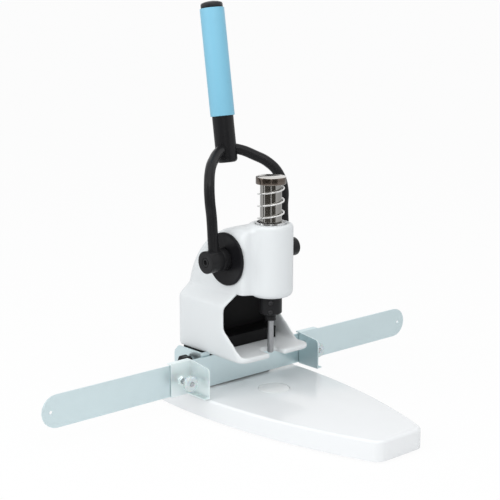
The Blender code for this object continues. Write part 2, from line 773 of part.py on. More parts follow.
def make_housing():
    housing = loft("housing", housing_sections(0, COLUMN_BOTTOM_Z), WHITE)
    top = [(0, NOSE_TOP_Z)]
    for across, up in arc((NOSE_RADIUS - NOSE_TOP_ROUND, NOSE_TOP_Z - NOSE_TOP_ROUND), NOSE_TOP_ROUND, 90, 0):
        top.append((across, up))
    foot = arc((NOSE_RADIUS - NOSE_BOTTOM_ROUND, HEAD_BOTTOM_Z + NOSE_BOTTOM_ROUND), NOSE_BOTTOM_ROUND, 0, -90)
    nose = turned("nose_outside", top + foot + [(0, HEAD_BOTTOM_Z)], DRILL_AXIS, steps=FINE)
    throat_reach = COLUMN_HALF_WIDTH + OVERRUN
    throat = flat("throat", [throat_outline()], -throat_reach, throat_reach, "side")
    inside = loft("housing_inside", housing_sections(-WALL, LIP_TOP_Z))
    cup_hole = CUP_RADIUS + GAP
    chuck_hole = CHUCK_RADIUS + LOOSE_GAP
    bore_profile = [(0, NOSE_TOP_Z + OVERRUN), (cup_hole, NOSE_TOP_Z + OVERRUN), (cup_hole, NOSE_TOP_Z - WALL),
                    (NOSE_RADIUS - WALL, NOSE_TOP_Z - WALL), (NOSE_RADIUS - WALL, HEAD_BOTTOM_Z + WALL),
                    (chuck_hole, HEAD_BOTTOM_Z + WALL), (chuck_hole, HEAD_BOTTOM_Z - OVERRUN),
                    (0, HEAD_BOTTOM_Z - OVERRUN)]
    nose_bore = turned("nose_bore", bore_profile, DRILL_AXIS, steps=FINE)
    nose_bore.rotation_euler.z = math.pi / FINE
    shaft_hole = rod("shaft_hole", SHAFT_RADIUS + LOOSE_GAP, PIVOT - Vector((HEAD_HALF_WIDTH + OVERRUN, 0, 0)),
                     PIVOT + Vector((HEAD_HALF_WIDTH + OVERRUN, 0, 0)), sides=ROUND)
    foot_hole = box("frame_foot_hole",
                    (-COLUMN_HALF_WIDTH + WALL, FRAME_FOOT_Y - GAP, COLUMN_BOTTOM_Z - OVERRUN),
                    (COLUMN_HALF_WIDTH - WALL, COLUMN_REAR_Y - WALL, LIP_TOP_Z + OVERRUN))
    slot_front = LIP_FRONT_Y - OVERRUN
    drill_slot = flat("drill_slot", [[(-LIP_SLOT_RADIUS, slot_front), (LIP_SLOT_RADIUS, slot_front)]
                                     + arc((0, DRILL_Y), LIP_SLOT_RADIUS, 0, 180, SMALL)],
                      COLUMN_BOTTOM_Z - OVERRUN, LIP_TOP_Z + OVERRUN)
    window_x = COVER_HALF_WIDTH - COVER_OVERLAP
    window = box("rear_window", (-window_x, COLUMN_REAR_Y - WALL - OVERRUN, COVER_BOTTOM_Z + COVER_OVERLAP),
                 (window_x, COLUMN_REAR_Y + OVERRUN, COVER_TOP_Z - COVER_OVERLAP))
    join(housing, nose)
    cut(housing, throat, inside, nose_bore, shaft_hole, foot_hole, drill_slot, window)
    for side in (-1, 1):
        place = (side * LIP_SCREW_X, TOE_FRONT_Y + BOLT_INSET)
        cut(housing, rod(f"lip_screw_hole_{side}", LIP_SCREW_RADIUS + GAP, (*place, COLUMN_BOTTOM_Z - OVERRUN),
                         (*place, LIP_TOP_Z + OVERRUN)))
        head_z = COLUMN_BOTTOM_Z - GAP
        low = head_z - LIP_SCREW_HEAD_HEIGHT
        profile = [(0, head_z + LIP_SCREW_LENGTH), (LIP_SCREW_RADIUS, head_z + LIP_SCREW_LENGTH),
                   (LIP_SCREW_RADIUS, head_z), (LIP_SCREW_HEAD_RADIUS, head_z),
                   (LIP_SCREW_HEAD_RADIUS - GAP, low), (0, low)]
        label = "left" if side < 0 else "right"
        turned(f"lip_screw_{label}", profile, (*place, 0), STEEL, steps=SMALL)
    cover = rounded([
        (-COVER_HALF_WIDTH, COVER_BOTTOM_Z, COVER_CORNER), (COVER_HALF_WIDTH, COVER_BOTTOM_Z, COVER_CORNER),
        (COVER_HALF_WIDTH, COVER_TOP_Z, COVER_CORNER), (-COVER_HALF_WIDTH, COVER_TOP_Z, COVER_CORNER)])
    flat("rear_cover", [cover], COLUMN_REAR_Y + GAP, COLUMN_REAR_Y + GAP + COVER_THICKNESS, "front", WHITE)


def make_frame():
    half_width = COLUMN_HALF_WIDTH - WALL - FRAME_SIDE_GAP
    foot_z = BASE_TOP_Z + GAP
    toe_z = LIP_TOP_Z + GAP
    rear = FRAME_FOOT_REAR_Y
    shoulder_z = COLUMN_TOP_Z - WALL
    lower = [(FRAME_FOOT_Y, foot_z), (rear, foot_z), (rear, shoulder_z), (PILLAR_FRONT_Y, shoulder_z),
             (PILLAR_FRONT_Y, TOE_TOP_Z), (TOE_FRONT_Y, TOE_TOP_Z), (TOE_FRONT_Y, toe_z), (FRAME_FOOT_Y, toe_z)]
    frame = flat("frame", [lower], -half_width, half_width, "side", CAST)
    skin = HEAD_BACK_RADIUS - WALL - FRAME_BACK_GAP
    start = math.degrees(math.asin((HEAD_SHOULDER_Z - HEAD_BACK_CENTRE_Z) / skin))
    end = math.degrees(math.asin((ARM_TOP_Z - HEAD_BACK_CENTRE_Z) / skin))
    back = arc((HEAD_BACK_CENTRE_Y, HEAD_BACK_CENTRE_Z), skin, start, end, FRAME_BACK_STEPS)
    arm_foot_z = shoulder_z - ARM_SETBACK
    upper = [(ARM_FRONT_Y, ARM_TOP_Z), (ARM_FRONT_Y, ARM_BOTTOM_Z), (PILLAR_FRONT_Y + ARM_SETBACK, ARM_BOTTOM_Z),
             (PILLAR_FRONT_Y + ARM_SETBACK, arm_foot_z), (back[0][0], arm_foot_z)]
    head = flat("frame_head", [upper + back], -FRAME_HEAD_HALF_WIDTH, FRAME_HEAD_HALF_WIDTH, "side")
    barrel = rod("frame_barrel", BARREL_RADIUS, (0, DRILL_Y, HEAD_BOTTOM_Z + WALL + GAP),
                 (0, DRILL_Y, BARREL_TOP_Z), sides=FINE)
    shaft_boss = rod("frame_shaft_boss", SHAFT_BOSS_RADIUS, PIVOT - Vector((HEAD_INSIDE, 0, 0)),
                     PIVOT + Vector((HEAD_INSIDE, 0, 0)), sides=FINE)
    join(frame, head, barrel, shaft_boss)
    for side in (-1, 1):
        label = "left" if side < 0 else "right"
        join(frame, rod(f"carriage_boss_{label}", BOSS_RADIUS, (side * (half_width - OVERRUN), BOSS_Y, ARM_SLOT_Z),
                        (side * (ARM_INNER_X - GAP), BOSS_Y, ARM_SLOT_Z), sides=ROUND))
    quill_bore = rod("quill_bore", BUSH_RADIUS + GAP, (0, DRILL_Y, HEAD_BOTTOM_Z), (0, DRILL_Y, NOSE_TOP_Z),
                     sides=FINE)
    chamber_radius = PITCH_RADIUS + MODULE + CHAMBER_CLEARANCE
    chamber = rod("pinion_chamber", chamber_radius, PIVOT - Vector((CHAMBER_HALF_WIDTH, 0, 0)),
                  PIVOT + Vector((CHAMBER_HALF_WIDTH, 0, 0)), sides=FINE)
    shaft_bore = rod("shaft_bore", SHAFT_BUSH_RADIUS + GAP, PIVOT - Vector((HEAD_HALF_WIDTH, 0, 0)),
                     PIVOT + Vector((HEAD_HALF_WIDTH, 0, 0)), sides=ROUND)
    pin_bore = rod("pin_bore", PIN_BODY_RADIUS + GAP, (SPINDLE_RADIUS, DRILL_Y, PIN_Z),
                   (BARREL_RADIUS + OVERRUN, DRILL_Y, PIN_Z))
    pocket = box("frame_pocket",
                 (-half_width + FRAME_POCKET_SIDE, PILLAR_FRONT_Y + FRAME_POCKET_FRONT, foot_z + FRAME_POCKET_FLOOR),
                 (half_width - FRAME_POCKET_SIDE, rear + OVERRUN, FRAME_POCKET_TOP_Z))
    cut(frame, quill_bore, chamber, shaft_bore, pin_bore, pocket)
    for number, (across, along) in enumerate(bolt_places()):
        cut(frame, rod(f"frame_tap_{number}", BOLT_RADIUS + GAP, (across, along, foot_z - OVERRUN),
                       (across, along, PLATE_TOP_Z + BOLT_LENGTH + OVERRUN)))
    for side in (-1, 1):
        place = (side * LIP_SCREW_X, TOE_FRONT_Y + BOLT_INSET)
        cut(frame, rod(f"toe_tap_{side}", LIP_SCREW_RADIUS + GAP, (*place, COLUMN_BOTTOM_Z),
                       (*place, COLUMN_BOTTOM_Z + LIP_SCREW_LENGTH + GAP)))
        cut(frame, rod(f"boss_tap_{side}", KNOB_SCREW_RADIUS + GAP,
                       (side * (ARM_INNER_X - KNOB_SCREW_DEPTH - GAP), BOSS_Y, ARM_SLOT_Z),
                       (side * (ARM_INNER_X + OVERRUN), BOSS_Y, ARM_SLOT_Z)))


def make_bushes():
    bore = QUILL_RADIUS + GAP
    lower_bush_z = HEAD_BOTTOM_Z + WALL + BUSH_TOP_DROP
    for name, low, top in (
            ("quill_bush_upper", BARREL_TOP_Z - BUSH_TOP_DROP - UPPER_BUSH_LENGTH, BARREL_TOP_Z - BUSH_TOP_DROP),
            ("quill_bush_lower", lower_bush_z, lower_bush_z + LOWER_BUSH_LENGTH)):
        profile = [(BUSH_RADIUS, top), (BUSH_RADIUS, low), (bore, low), (bore, top)]
        turned(name, profile, DRILL_AXIS, BRONZE, ring=True)
    inner = CHAMBER_HALF_WIDTH + GAP
    for name, side in (("shaft_bush_left", -1), ("shaft_bush_right", 1)):
        length = HEAD_INSIDE - inner
        profile = [(SHAFT_BUSH_RADIUS, length), (SHAFT_BUSH_RADIUS, 0), (SHAFT_RADIUS + GAP, 0),
                   (SHAFT_RADIUS + GAP, length)]
        turned(name, profile, PIVOT + Vector((side * inner, 0, 0)), BRONZE, "x", ROUND, ring=True,
               flip=side < 0)


def make_guide_pin():
    end = PIN_TIP_X + PIN_LENGTH
    shoulder = QUILL_RADIUS + LOOSE_GAP
    profile = [(0, end), (PIN_BODY_RADIUS, end), (PIN_BODY_RADIUS, shoulder), (PIN_TIP_RADIUS, shoulder),
               (PIN_TIP_RADIUS, PIN_TIP_X), (0, PIN_TIP_X)]
    turned("guide_pin", profile, (0, DRILL_Y, PIN_Z), STEEL, "x", SMALL)


def rack_spaces():
    """Side view of the comb that cuts the rack: one tapered tooth space after another."""
    tip = RACK_LINE + MODULE
    root = RACK_LINE - DEDENDUM_SHARE * MODULE
    back = QUILL_RADIUS + OVERRUN
    slope = math.tan(PRESSURE_ANGLE)
    half_at_line = TOOTH_PITCH / 4 + BACKLASH / 4
    half_root = half_at_line - (RACK_LINE - root) * slope
    half_tip = half_at_line + MODULE * slope
    count = math.ceil(STROKE / TOOTH_PITCH) + 2 * RACK_EXTRA_TEETH
    first = -RACK_EXTRA_TEETH
    outline = []
    for index in range(first, first + count + 1):
        middle = PINION_LIFT + index * TOOTH_PITCH
        outline += [(tip, middle - half_tip), (root, middle - half_root), (root, middle + half_root),
                    (tip, middle + half_tip)]
    outline += [(back, outline[-1][1]), (back, outline[0][1])]
    return [(DRILL_Y + across, up) for across, up in outline]


def pinion_outline():
    """Involute teeth of the pinion, one of them centred on the first axis of its plane."""
    base_radius = PITCH_RADIUS * math.cos(PRESSURE_ANGLE)
    tip_radius = PITCH_RADIUS + MODULE
    root_radius = PITCH_RADIUS - DEDENDUM_SHARE * MODULE
    involute_at_pitch = math.tan(PRESSURE_ANGLE) - PRESSURE_ANGLE
    half_tooth = math.pi / 2 / PINION_TEETH - BACKLASH / 4 / PITCH_RADIUS

    def flank_angle(radius):
        pressure = math.acos(min(base_radius / radius, 1))
        return half_tooth + involute_at_pitch - (math.tan(pressure) - pressure)

    outline = []
    for tooth in range(PINION_TEETH):
        middle = 2 * math.pi * tooth / PINION_TEETH
        start = max(base_radius, root_radius)
        radii = [start + (tip_radius - start) * step / FLANK_STEPS for step in range(FLANK_STEPS + 1)]
        rising = [(radius, middle - flank_angle(radius)) for radius in radii]
        falling = [(radius, middle + flank_angle(radius)) for radius in reversed(radii)]
        places = [(root_radius, rising[0][1])] + rising + falling + [(root_radius, falling[-1][1])]
        outline += [(radius * math.cos(angle), radius * math.sin(angle)) for radius, angle in places]
    return outline


def shaft_end(hub_end):
    """How far the cross shaft goes out to each side: up to the web under the hub screw's head."""
    return hub_end - HUB_SCREW_HEAD_HEIGHT - HUB_WEB - LOOSE_GAP


LEVER_SIDES = {
    "left": {"side": -1, "fork_x": LEFT_FORK_X, "hub_radius": LEFT_HUB_RADIUS, "hub_end": LEFT_HUB_END_X,
             "disc_radius": LEFT_DISC_RADIUS, "disc_end": LEFT_DISC_OUTER_X, "shaft_end": shaft_end(LEFT_HUB_END_X)},
    "right": {"side": 1, "fork_x": RIGHT_FORK_X, "hub_radius": RIGHT_HUB_RADIUS, "hub_end": RIGHT_HUB_END_X,
              "disc_radius": RIGHT_DISC_RADIUS, "disc_end": RIGHT_DISC_OUTER_X,
              "shaft_end": shaft_end(RIGHT_HUB_END_X)},
}


def make_lever():
    pivot = empty("lever_pivot", PIVOT, (-LEAN, 0, 0))
    left = LEVER_SIDES["left"]["shaft_end"]
    right = LEVER_SIDES["right"]["shaft_end"]
    shaft_profile = [(0, right), (SHAFT_RADIUS, right), (SHAFT_RADIUS, -left), (0, -left)]
    shaft = turned("cross_shaft", shaft_profile, (0, 0, 0), STEEL, "x", ROUND)
    key_low = SHAFT_RADIUS - KEY_HEIGHT / 2
    key_high = SHAFT_RADIUS + KEY_HEIGHT / 2
    half_key = PINION_HALF_WIDTH - GAP
    keyway = box("shaft_keyway", (-half_key - GAP, -KEY_WIDTH / 2 - GAP, key_low - GAP),
                 (half_key + GAP, KEY_WIDTH / 2 + GAP, SHAFT_RADIUS + OVERRUN))
    key = box("pinion_key", (-half_key, -KEY_WIDTH / 2, key_low), (half_key, KEY_WIDTH / 2, key_high), STEEL)
    cut(shaft, keyway)
    bore = circle((0, 0), SHAFT_RADIUS + GAP, ROUND)
    pinion = flat("pinion", [pinion_outline(), bore], -PINION_HALF_WIDTH, PINION_HALF_WIDTH, "side", STEEL)
    mesh_turn = Matrix.Rotation(LEAN, 3, "Z")
    pinion.rotation_euler = (Euler(PLANE_TURNS["side"]).to_matrix() @ mesh_turn).to_euler()
    pinion_keyway = box("pinion_keyway", (-PINION_HALF_WIDTH - OVERRUN, -KEY_WIDTH / 2 - GAP, 0),
                        (PINION_HALF_WIDTH + OVERRUN, KEY_WIDTH / 2 + GAP, key_high + GAP))
    cut(pinion, pinion_keyway)
    path = fork_path()
    fork = tube("fork", path, FORK_RADIUS, BLACK, bend_steps=BEND_STEPS)
    ride(pivot, key, pinion, fork)
    for label, sizes in LEVER_SIDES.items():
        make_hub(pivot, shaft, label, sizes)
    ride(pivot, shaft)
    make_grip(pivot, path)


def fork_path():
    """Centre line of the bent bar, from the left hub through the grip tube to the right hub."""
    rise_shares = (0.396, 0.564, 0.715, 0.831, 0.909, 0.973)
    back_shares = (-0.141, -0.205, -0.124, 0.131, 0.446, 0.728)
    across_shares = (1.0, 1.027, 0.964, 0.80, 0.567, 0.301)
    middle_share = 0.957

    def arm(reach):
        places = [(reach, -FORK_FORWARD, FORK_FOOT), (reach, -FORK_FORWARD, FORK_FOOT_TOP)]
        for across, back, rise in zip(across_shares, back_shares, rise_shares):
            places.append((reach * across, GRIP_BACK * back, FORK_RISE * rise))
        return places

    return arm(-LEFT_FORK_X) + [(0, GRIP_BACK * middle_share, FORK_RISE)] + list(reversed(arm(RIGHT_FORK_X)))


def make_hub(pivot, shaft, label, sizes):
    """One hub with its side disc and screw, and the bore for that screw in the shaft."""
    side = sizes["side"]
    radius = sizes["hub_radius"]
    end = sizes["hub_end"]
    disc_radius = sizes["disc_radius"]
    disc_end = sizes["disc_end"]
    disc_start = HEAD_HALF_WIDTH + GAP
    hub_start = disc_end + GAP
    bore = SHAFT_RADIUS + GAP
    screw_bore = HUB_SCREW_RADIUS + GAP
    head_bore = HUB_SCREW_HEAD_RADIUS + GAP
    web_start = sizes["shaft_end"] + GAP
    web_end = web_start + HUB_WEB
    disc_profile = [(disc_radius - DISC_BEVEL, disc_end), (disc_radius, disc_end - DISC_BEVEL),
                    (disc_radius, disc_start), (bore, disc_start), (bore, disc_end)]
    disc = turned(f"side_disc_{label}", disc_profile, (0, 0, 0), BLACK, "x", FINE, ring=True, flip=side < 0)
    hub_profile = [(head_bore, end), (radius - HUB_END_BEVEL, end), (radius, end - HUB_END_BEVEL),
                   (radius, hub_start), (bore, hub_start), (bore, web_start), (screw_bore, web_start),
                   (screw_bore, web_end), (head_bore, web_end)]
    hub = turned(f"hub_{label}", hub_profile, (0, 0, 0), BLACK, "x", ROUND, ring=True, flip=side < 0)
    foot_x = side * sizes["fork_x"]
    cut(hub, rod(f"fork_socket_{label}", FORK_RADIUS + GAP, (foot_x, -FORK_FORWARD, FORK_FOOT - GAP),
                 (foot_x, -FORK_FORWARD, radius + OVERRUN), sides=ROUND))
    head_low = web_end + GAP
    shank_end = head_low - HUB_SCREW_LENGTH
    screw_profile = [(0, end), (HUB_SCREW_HEAD_RADIUS, end), (HUB_SCREW_HEAD_RADIUS, head_low),
                     (HUB_SCREW_RADIUS, head_low), (HUB_SCREW_RADIUS, shank_end), (0, shank_end)]
    screw = turned(f"hub_screw_{label}", screw_profile, (0, 0, 0), BLACK, "x", SMALL, flip=side < 0)
    cut(screw, rod(f"hub_screw_hex_{label}", HUB_SCREW_RADIUS, (side * (end - HUB_SCREW_HEAD_HEIGHT / 2), 0, 0),
                   (side * (end + OVERRUN), 0, 0), sides=HEX))
    cut(shaft, rod(f"shaft_tap_{label}", screw_bore, (side * (shank_end - GAP), 0, 0),
                   (side * (web_start + OVERRUN), 0, 0)))
    ride(pivot, disc, hub, screw)


def make_grip(pivot, path):
    inner = GRIP_TUBE_RADIUS - GRIP_TUBE_WALL
    axis = (0, GRIP_BACK, 0)
    floor = GRIP_TUBE_BOTTOM + GRIP_TUBE_FLOOR
    edge = arc((GRIP_TUBE_RADIUS - GRIP_TUBE_ROUND, GRIP_TUBE_BOTTOM + GRIP_TUBE_ROUND), GRIP_TUBE_ROUND, 0, -90)
    tube_profile = [(inner, GRIP_TUBE_TOP), (GRIP_TUBE_RADIUS, GRIP_TUBE_TOP)] + edge
    tube_profile += [(0, GRIP_TUBE_BOTTOM), (0, floor), (inner - GRIP_TUBE_FLOOR, floor),
                     (inner, floor + GRIP_TUBE_FLOOR)]
    grip = turned("grip_tube", tube_profile, axis, BLACK, ring=True)
    passage = tube("fork_passage", path, FORK_RADIUS + GAP, bend_steps=BEND_STEPS)
    cut(grip, passage)
    sleeve_bore = GRIP_TUBE_RADIUS + GAP
    sleeve_profile = [(sleeve_bore, GRIP_TUBE_TOP), (SLEEVE_RADIUS - SLEEVE_EDGE, GRIP_TUBE_TOP),
                      (SLEEVE_RADIUS, GRIP_TUBE_TOP - SLEEVE_EDGE), (SLEEVE_RADIUS, SLEEVE_BOTTOM + SLEEVE_EDGE),
                      (SLEEVE_RADIUS - SLEEVE_EDGE, SLEEVE_BOTTOM), (sleeve_bore, SLEEVE_BOTTOM)]
    sleeve = turned("grip_sleeve", sleeve_profile, axis, BLUE, ring=True, steps=FINE)
    low = GRIP_TUBE_TOP + GAP
    side_top = low + END_CAP_SIDE
    edge = arc((END_CAP_RADIUS - END_CAP_ROUND, side_top), END_CAP_ROUND, 90, 0)
    plug = inner - GAP
    cap_profile = [(0, side_top + END_CAP_ROUND + END_CAP_DOME)] + edge
    cap_profile += [(END_CAP_RADIUS, low), (plug, low), (plug, low - END_CAP_PLUG), (0, low - END_CAP_PLUG)]
    cap = turned("end_cap", cap_profile, axis, BLACK)
    ride(pivot, grip, sleeve, cap)


def make_quill():
    pivot = empty("quill_slide", (0, DRILL_Y, CAP_BOTTOM_Z))
    top = CAP_BOTTOM_Z + CAP_SEAT
    counterbore = RING_RADIUS + LOOSE_GAP
    floor = RING_Z - GAP
    profile = [(QUILL_RADIUS, top), (QUILL_RADIUS, QUILL_BOTTOM_Z), (QUILL_BORE, QUILL_BOTTOM_Z),
               (QUILL_BORE, floor), (counterbore, floor), (counterbore, top)]
    quill = turned("quill", profile, DRILL_AXIS, CHROME, ring=True, steps=FINE)
    comb = flat("rack_comb", [rack_spaces()], -QUILL_RADIUS - OVERRUN, QUILL_RADIUS + OVERRUN, "side")
    half_slot = PIN_TIP_RADIUS + SLOT_SIDE_CLEARANCE
    outline = arc((DRILL_Y, PIN_Z + STROKE + GAP), half_slot, 0, 180, SMALL // 2)
    outline += arc((DRILL_Y, PIN_Z - GAP), half_slot, 180, 360, SMALL // 2)
    slot = flat("quill_slot", [outline], PIN_TIP_X, QUILL_RADIUS + OVERRUN, "side")
    cut(quill, comb, slot)
    cap_top = CAP_BOTTOM_Z + CAP_HEIGHT
    seat = CAP_BOTTOM_Z + CAP_SEAT + GAP
    bore = QUILL_RADIUS + GAP
    cap_profile = [(0, cap_top), (CAP_RADIUS - CAP_EDGE, cap_top), (CAP_RADIUS, cap_top - CAP_EDGE),
                   (CAP_RADIUS, CAP_BOTTOM_Z + CAP_EDGE), (CAP_RADIUS - CAP_EDGE, CAP_BOTTOM_Z),
                   (bore, CAP_BOTTOM_Z), (bore, seat), (0, seat)]
    cap = turned("quill_cap", cap_profile, DRILL_AXIS, CHROME, steps=FINE)
    carry(pivot, quill, cap)


def make_spindle():
    pivot = empty("spindle_turn", (0, DRILL_Y, CHUCK_TOP_Z))
    groove_low = RING_Z - LOOSE_GAP
    groove_high = RING_Z + RING_THICKNESS + LOOSE_GAP
    end_low = CHUCK_STEP_Z + GAP
    profile = [(SPINDLE_RADIUS, SPINDLE_TOP_Z), (SPINDLE_RADIUS, groove_high), (RING_GROOVE_RADIUS - GAP, groove_high),
               (RING_GROOVE_RADIUS - GAP, groove_low), (SPINDLE_RADIUS, groove_low), (SPINDLE_RADIUS, end_low),
               (SPINDLE_BORE, end_low), (SPINDLE_BORE, SPINDLE_TOP_Z)]
    spindle = turned("spindle", profile, DRILL_AXIS, STEEL, ring=True)
    run_out = PIN_TIP_RADIUS + LOOSE_GAP
    span = STROKE + 2 * run_out
    steps = math.ceil(GROOVE_POINTS_PER_TURN * span / STROKE)
    path = []
    for step in range(steps + 1):
        lift = span * step / steps - run_out
        angle = TURN_PER_LIFT * lift
        path.append((GROOVE_DEPTH_RADIUS * math.cos(angle), DRILL_Y + GROOVE_DEPTH_RADIUS * math.sin(angle),
                     PIN_Z + lift))
    groove = tube("helical_groove", path, GROOVE_TUBE)
    cut(spindle, groove)
    washer_low = CHUCK_TOP_Z + GAP
    washer_bore = SPINDLE_RADIUS + GAP
    washer = turned("thrust_washer", [(WASHER_RADIUS, washer_low + WASHER_THICKNESS), (WASHER_RADIUS, washer_low),
                                      (washer_bore, washer_low), (washer_bore, washer_low + WASHER_THICKNESS)],
                    DRILL_AXIS, BRONZE, ring=True)
    ring = turned("retaining_ring", [(RING_RADIUS, RING_Z + RING_THICKNESS), (RING_RADIUS, RING_Z),
                                     (RING_GROOVE_RADIUS, RING_Z), (RING_GROOVE_RADIUS, RING_Z + RING_THICKNESS)],
                  DRILL_AXIS, STEEL, ring=True, steps=ROUND)
    shank_bore = SHANK_RADIUS + GAP
    spindle_bore = SPINDLE_RADIUS + GAP
    chuck_profile = [(spindle_bore, CHUCK_TOP_Z), (CHUCK_RADIUS, CHUCK_TOP_Z),
                     (CHUCK_RADIUS, CHUCK_BOTTOM_Z + TIP_BEVEL), (CHUCK_RADIUS - TIP_BEVEL, CHUCK_BOTTOM_Z),
                     (shank_bore, CHUCK_BOTTOM_Z), (shank_bore, CHUCK_STEP_Z), (spindle_bore, CHUCK_STEP_Z)]
    chuck = turned("chuck", chuck_profile, DRILL_AXIS, BLACK, ring=True, steps=FINE)
    outward = Vector((math.cos(SET_SCREW_TURN), math.sin(SET_SCREW_TURN), 0))
    pieces = [spindle, washer, ring, chuck]
    for name, height, seat in (("set_screw_lower", SET_SCREW_LOW_Z, SHANK_RADIUS),
                               ("set_screw_upper", SET_SCREW_HIGH_Z, SPINDLE_RADIUS)):
        centre = DRILL_AXIS + Vector((0, 0, height))
        cut(chuck, rod(f"{name}_tap", SET_SCREW_RADIUS + GAP, centre, centre + outward * (CHUCK_RADIUS + OVERRUN)))
        screw = rod(name, SET_SCREW_RADIUS, centre + outward * (seat + GAP),
                    centre + outward * (CHUCK_RADIUS - GAP), STEEL)
        cut(screw, rod(f"{name}_hex", SET_SCREW_HEX_RADIUS, centre + outward * (CHUCK_RADIUS - SET_SCREW_RADIUS),
                       centre + outward * (CHUCK_RADIUS + OVERRUN), sides=HEX))
        pieces.append(screw)
    shank_low = CHUCK_BOTTOM_Z - GAP
    collar_low = shank_low - COLLAR_LENGTH
    drill_profile = [(SHANK_RADIUS, shank_low + SHANK_LENGTH), (SHANK_RADIUS, shank_low), (COLLAR_RADIUS, shank_low),
                     (COLLAR_RADIUS, collar_low), (TUBE_RADIUS, collar_low), (TUBE_RADIUS, TUBE_TIP_Z + TIP_BEVEL),
                     (TUBE_BORE + GAP, TUBE_TIP_Z), (TUBE_BORE, TUBE_TIP_Z), (TUBE_BORE, shank_low + SHANK_LENGTH)]
    pieces.append(turned("hollow_drill", drill_profile, DRILL_AXIS, STEEL, ring=True))
    carry(pivot, *pieces)


def make_spring():
    """The quill spring as one wire, open wound, with its ends square to the cup and the cap."""
    cup_floor_top = CUP_FLOOR_Z + CUP_FLOOR
    cup_profile = [(CUP_RADIUS, CUP_RIM_Z), (CUP_RADIUS, CUP_FLOOR_Z), (CUP_BORE, CUP_FLOOR_Z),
                   (CUP_BORE, cup_floor_top), (CUP_RADIUS - CUP_WALL, cup_floor_top),
                   (CUP_RADIUS - CUP_WALL, CUP_RIM_Z)]
    turned("spring_cup", cup_profile, DRILL_AXIS, STEEL, ring=True, steps=FINE)
    low = cup_floor_top + GAP
    high = CAP_BOTTOM_Z - GAP
    radius = SPRING_OUTER_RADIUS - SPRING_WIRE / 2
    wind_low = low + SPRING_WIRE
    wind_high = high - SPRING_WIRE
    turns = (wind_high - wind_low) / SPRING_PITCH
    steps = math.ceil(turns * SPRING_POINTS_PER_TURN)
    path = []
    for step in range(steps + 1):
        angle = SPRING_START + 2 * math.pi * turns * step / steps
        path.append(Vector((radius * math.cos(angle), DRILL_Y + radius * math.sin(angle),
                            wind_low + (wind_high - wind_low) * step / steps)))
    path.insert(0, Vector((path[0].x, path[0].y, low)))
    path.append(Vector((path[-1].x, path[-1].y, high)))
    print("least gap of the spring to itself, metres:", round(least_gap(path, SPRING_WIRE), 5))
    tube("quill_spring", path, SPRING_WIRE / 2, CHROME, SPRING_SIDE_STEPS)


def least_gap(path, thickness):
    """Least distance between stretches of a wire that are over half a turn apart, less its thickness."""
    apart = SPRING_POINTS_PER_TURN // 2
    least = min((path[first] - path[second]).length
                for first in range(len(path)) for second in range(first + apart, len(path)))
    return least - thickness


def make_carriage():
    slide = empty("fence_slide", (0, RULER_FRONT_Y, RULER_BOTTOM_Z))
    half_height = RULER_HEIGHT / 2
    middle_z = RULER_BOTTOM_Z + half_height
    outline = slot_outline((-RULER_HALF_LENGTH + half_height, middle_z), (RULER_HALF_LENGTH - half_height, middle_z),
                           half_height, SMALL)
    holes = [circle((side * (RULER_HALF_LENGTH - RULER_HOLE_INSET), middle_z), RULER_HOLE_RADIUS)
             for side in (-1, 1)]
    ruler = flat("ruler", [outline] + holes, RULER_FRONT_Y, RULER_BACK_Y, "front", ZINC)
    carry(slide, ruler)
    front = RULER_BACK_Y + GAP
    rear = front + ARM_LENGTH
    top = ARM_LOW_Z + ARM_HEIGHT
    side_outline = rounded([(front, ARM_LOW_Z, 0), (rear, ARM_LOW_Z, ARM_REAR_CORNER), (rear, top, ARM_REAR_CORNER),
                            (front, top, 0)])
    half_slot = ARM_SLOT_HEIGHT / 2
    slot = slot_outline((ARM_SLOT_FRONT_Y + half_slot, ARM_SLOT_Z),
                        (ARM_SLOT_FRONT_Y + ARM_SLOT_LENGTH - half_slot, ARM_SLOT_Z), half_slot)
    for side in (-1, 1):
        label = "left" if side < 0 else "right"
        arm = flat(f"carriage_arm_{label}", [side_outline, slot], side * ARM_INNER_X, side * ARM_OUTER_X, "side",
                   ZINC)
        flange_x = sorted((side * ARM_FLANGE_INNER_X, side * (ARM_OUTER_X - ARM_THICKNESS / 2)))
        flange = box(f"arm_flange_{label}", (flange_x[0], front, ARM_LOW_Z + GAP),
                     (flange_x[1], front + ARM_THICKNESS, top - GAP))
        join(arm, flange)
        carry(slide, arm)


def knob_outline(share, height):
    """One ring of the star knob across the X axis."""
    ring = []
    sides = KNOB_LOBES * KNOB_LOBE_STEPS
    for index in range(sides):
        angle = 2 * math.pi * index / sides
        radius = KNOB_RADIUS * share * (1 - KNOB_LOBE_SHARE * (1 - math.cos(KNOB_LOBES * angle)) / 2)
        ring.append((height, -radius * math.cos(angle), radius * math.sin(angle)))
    return ring


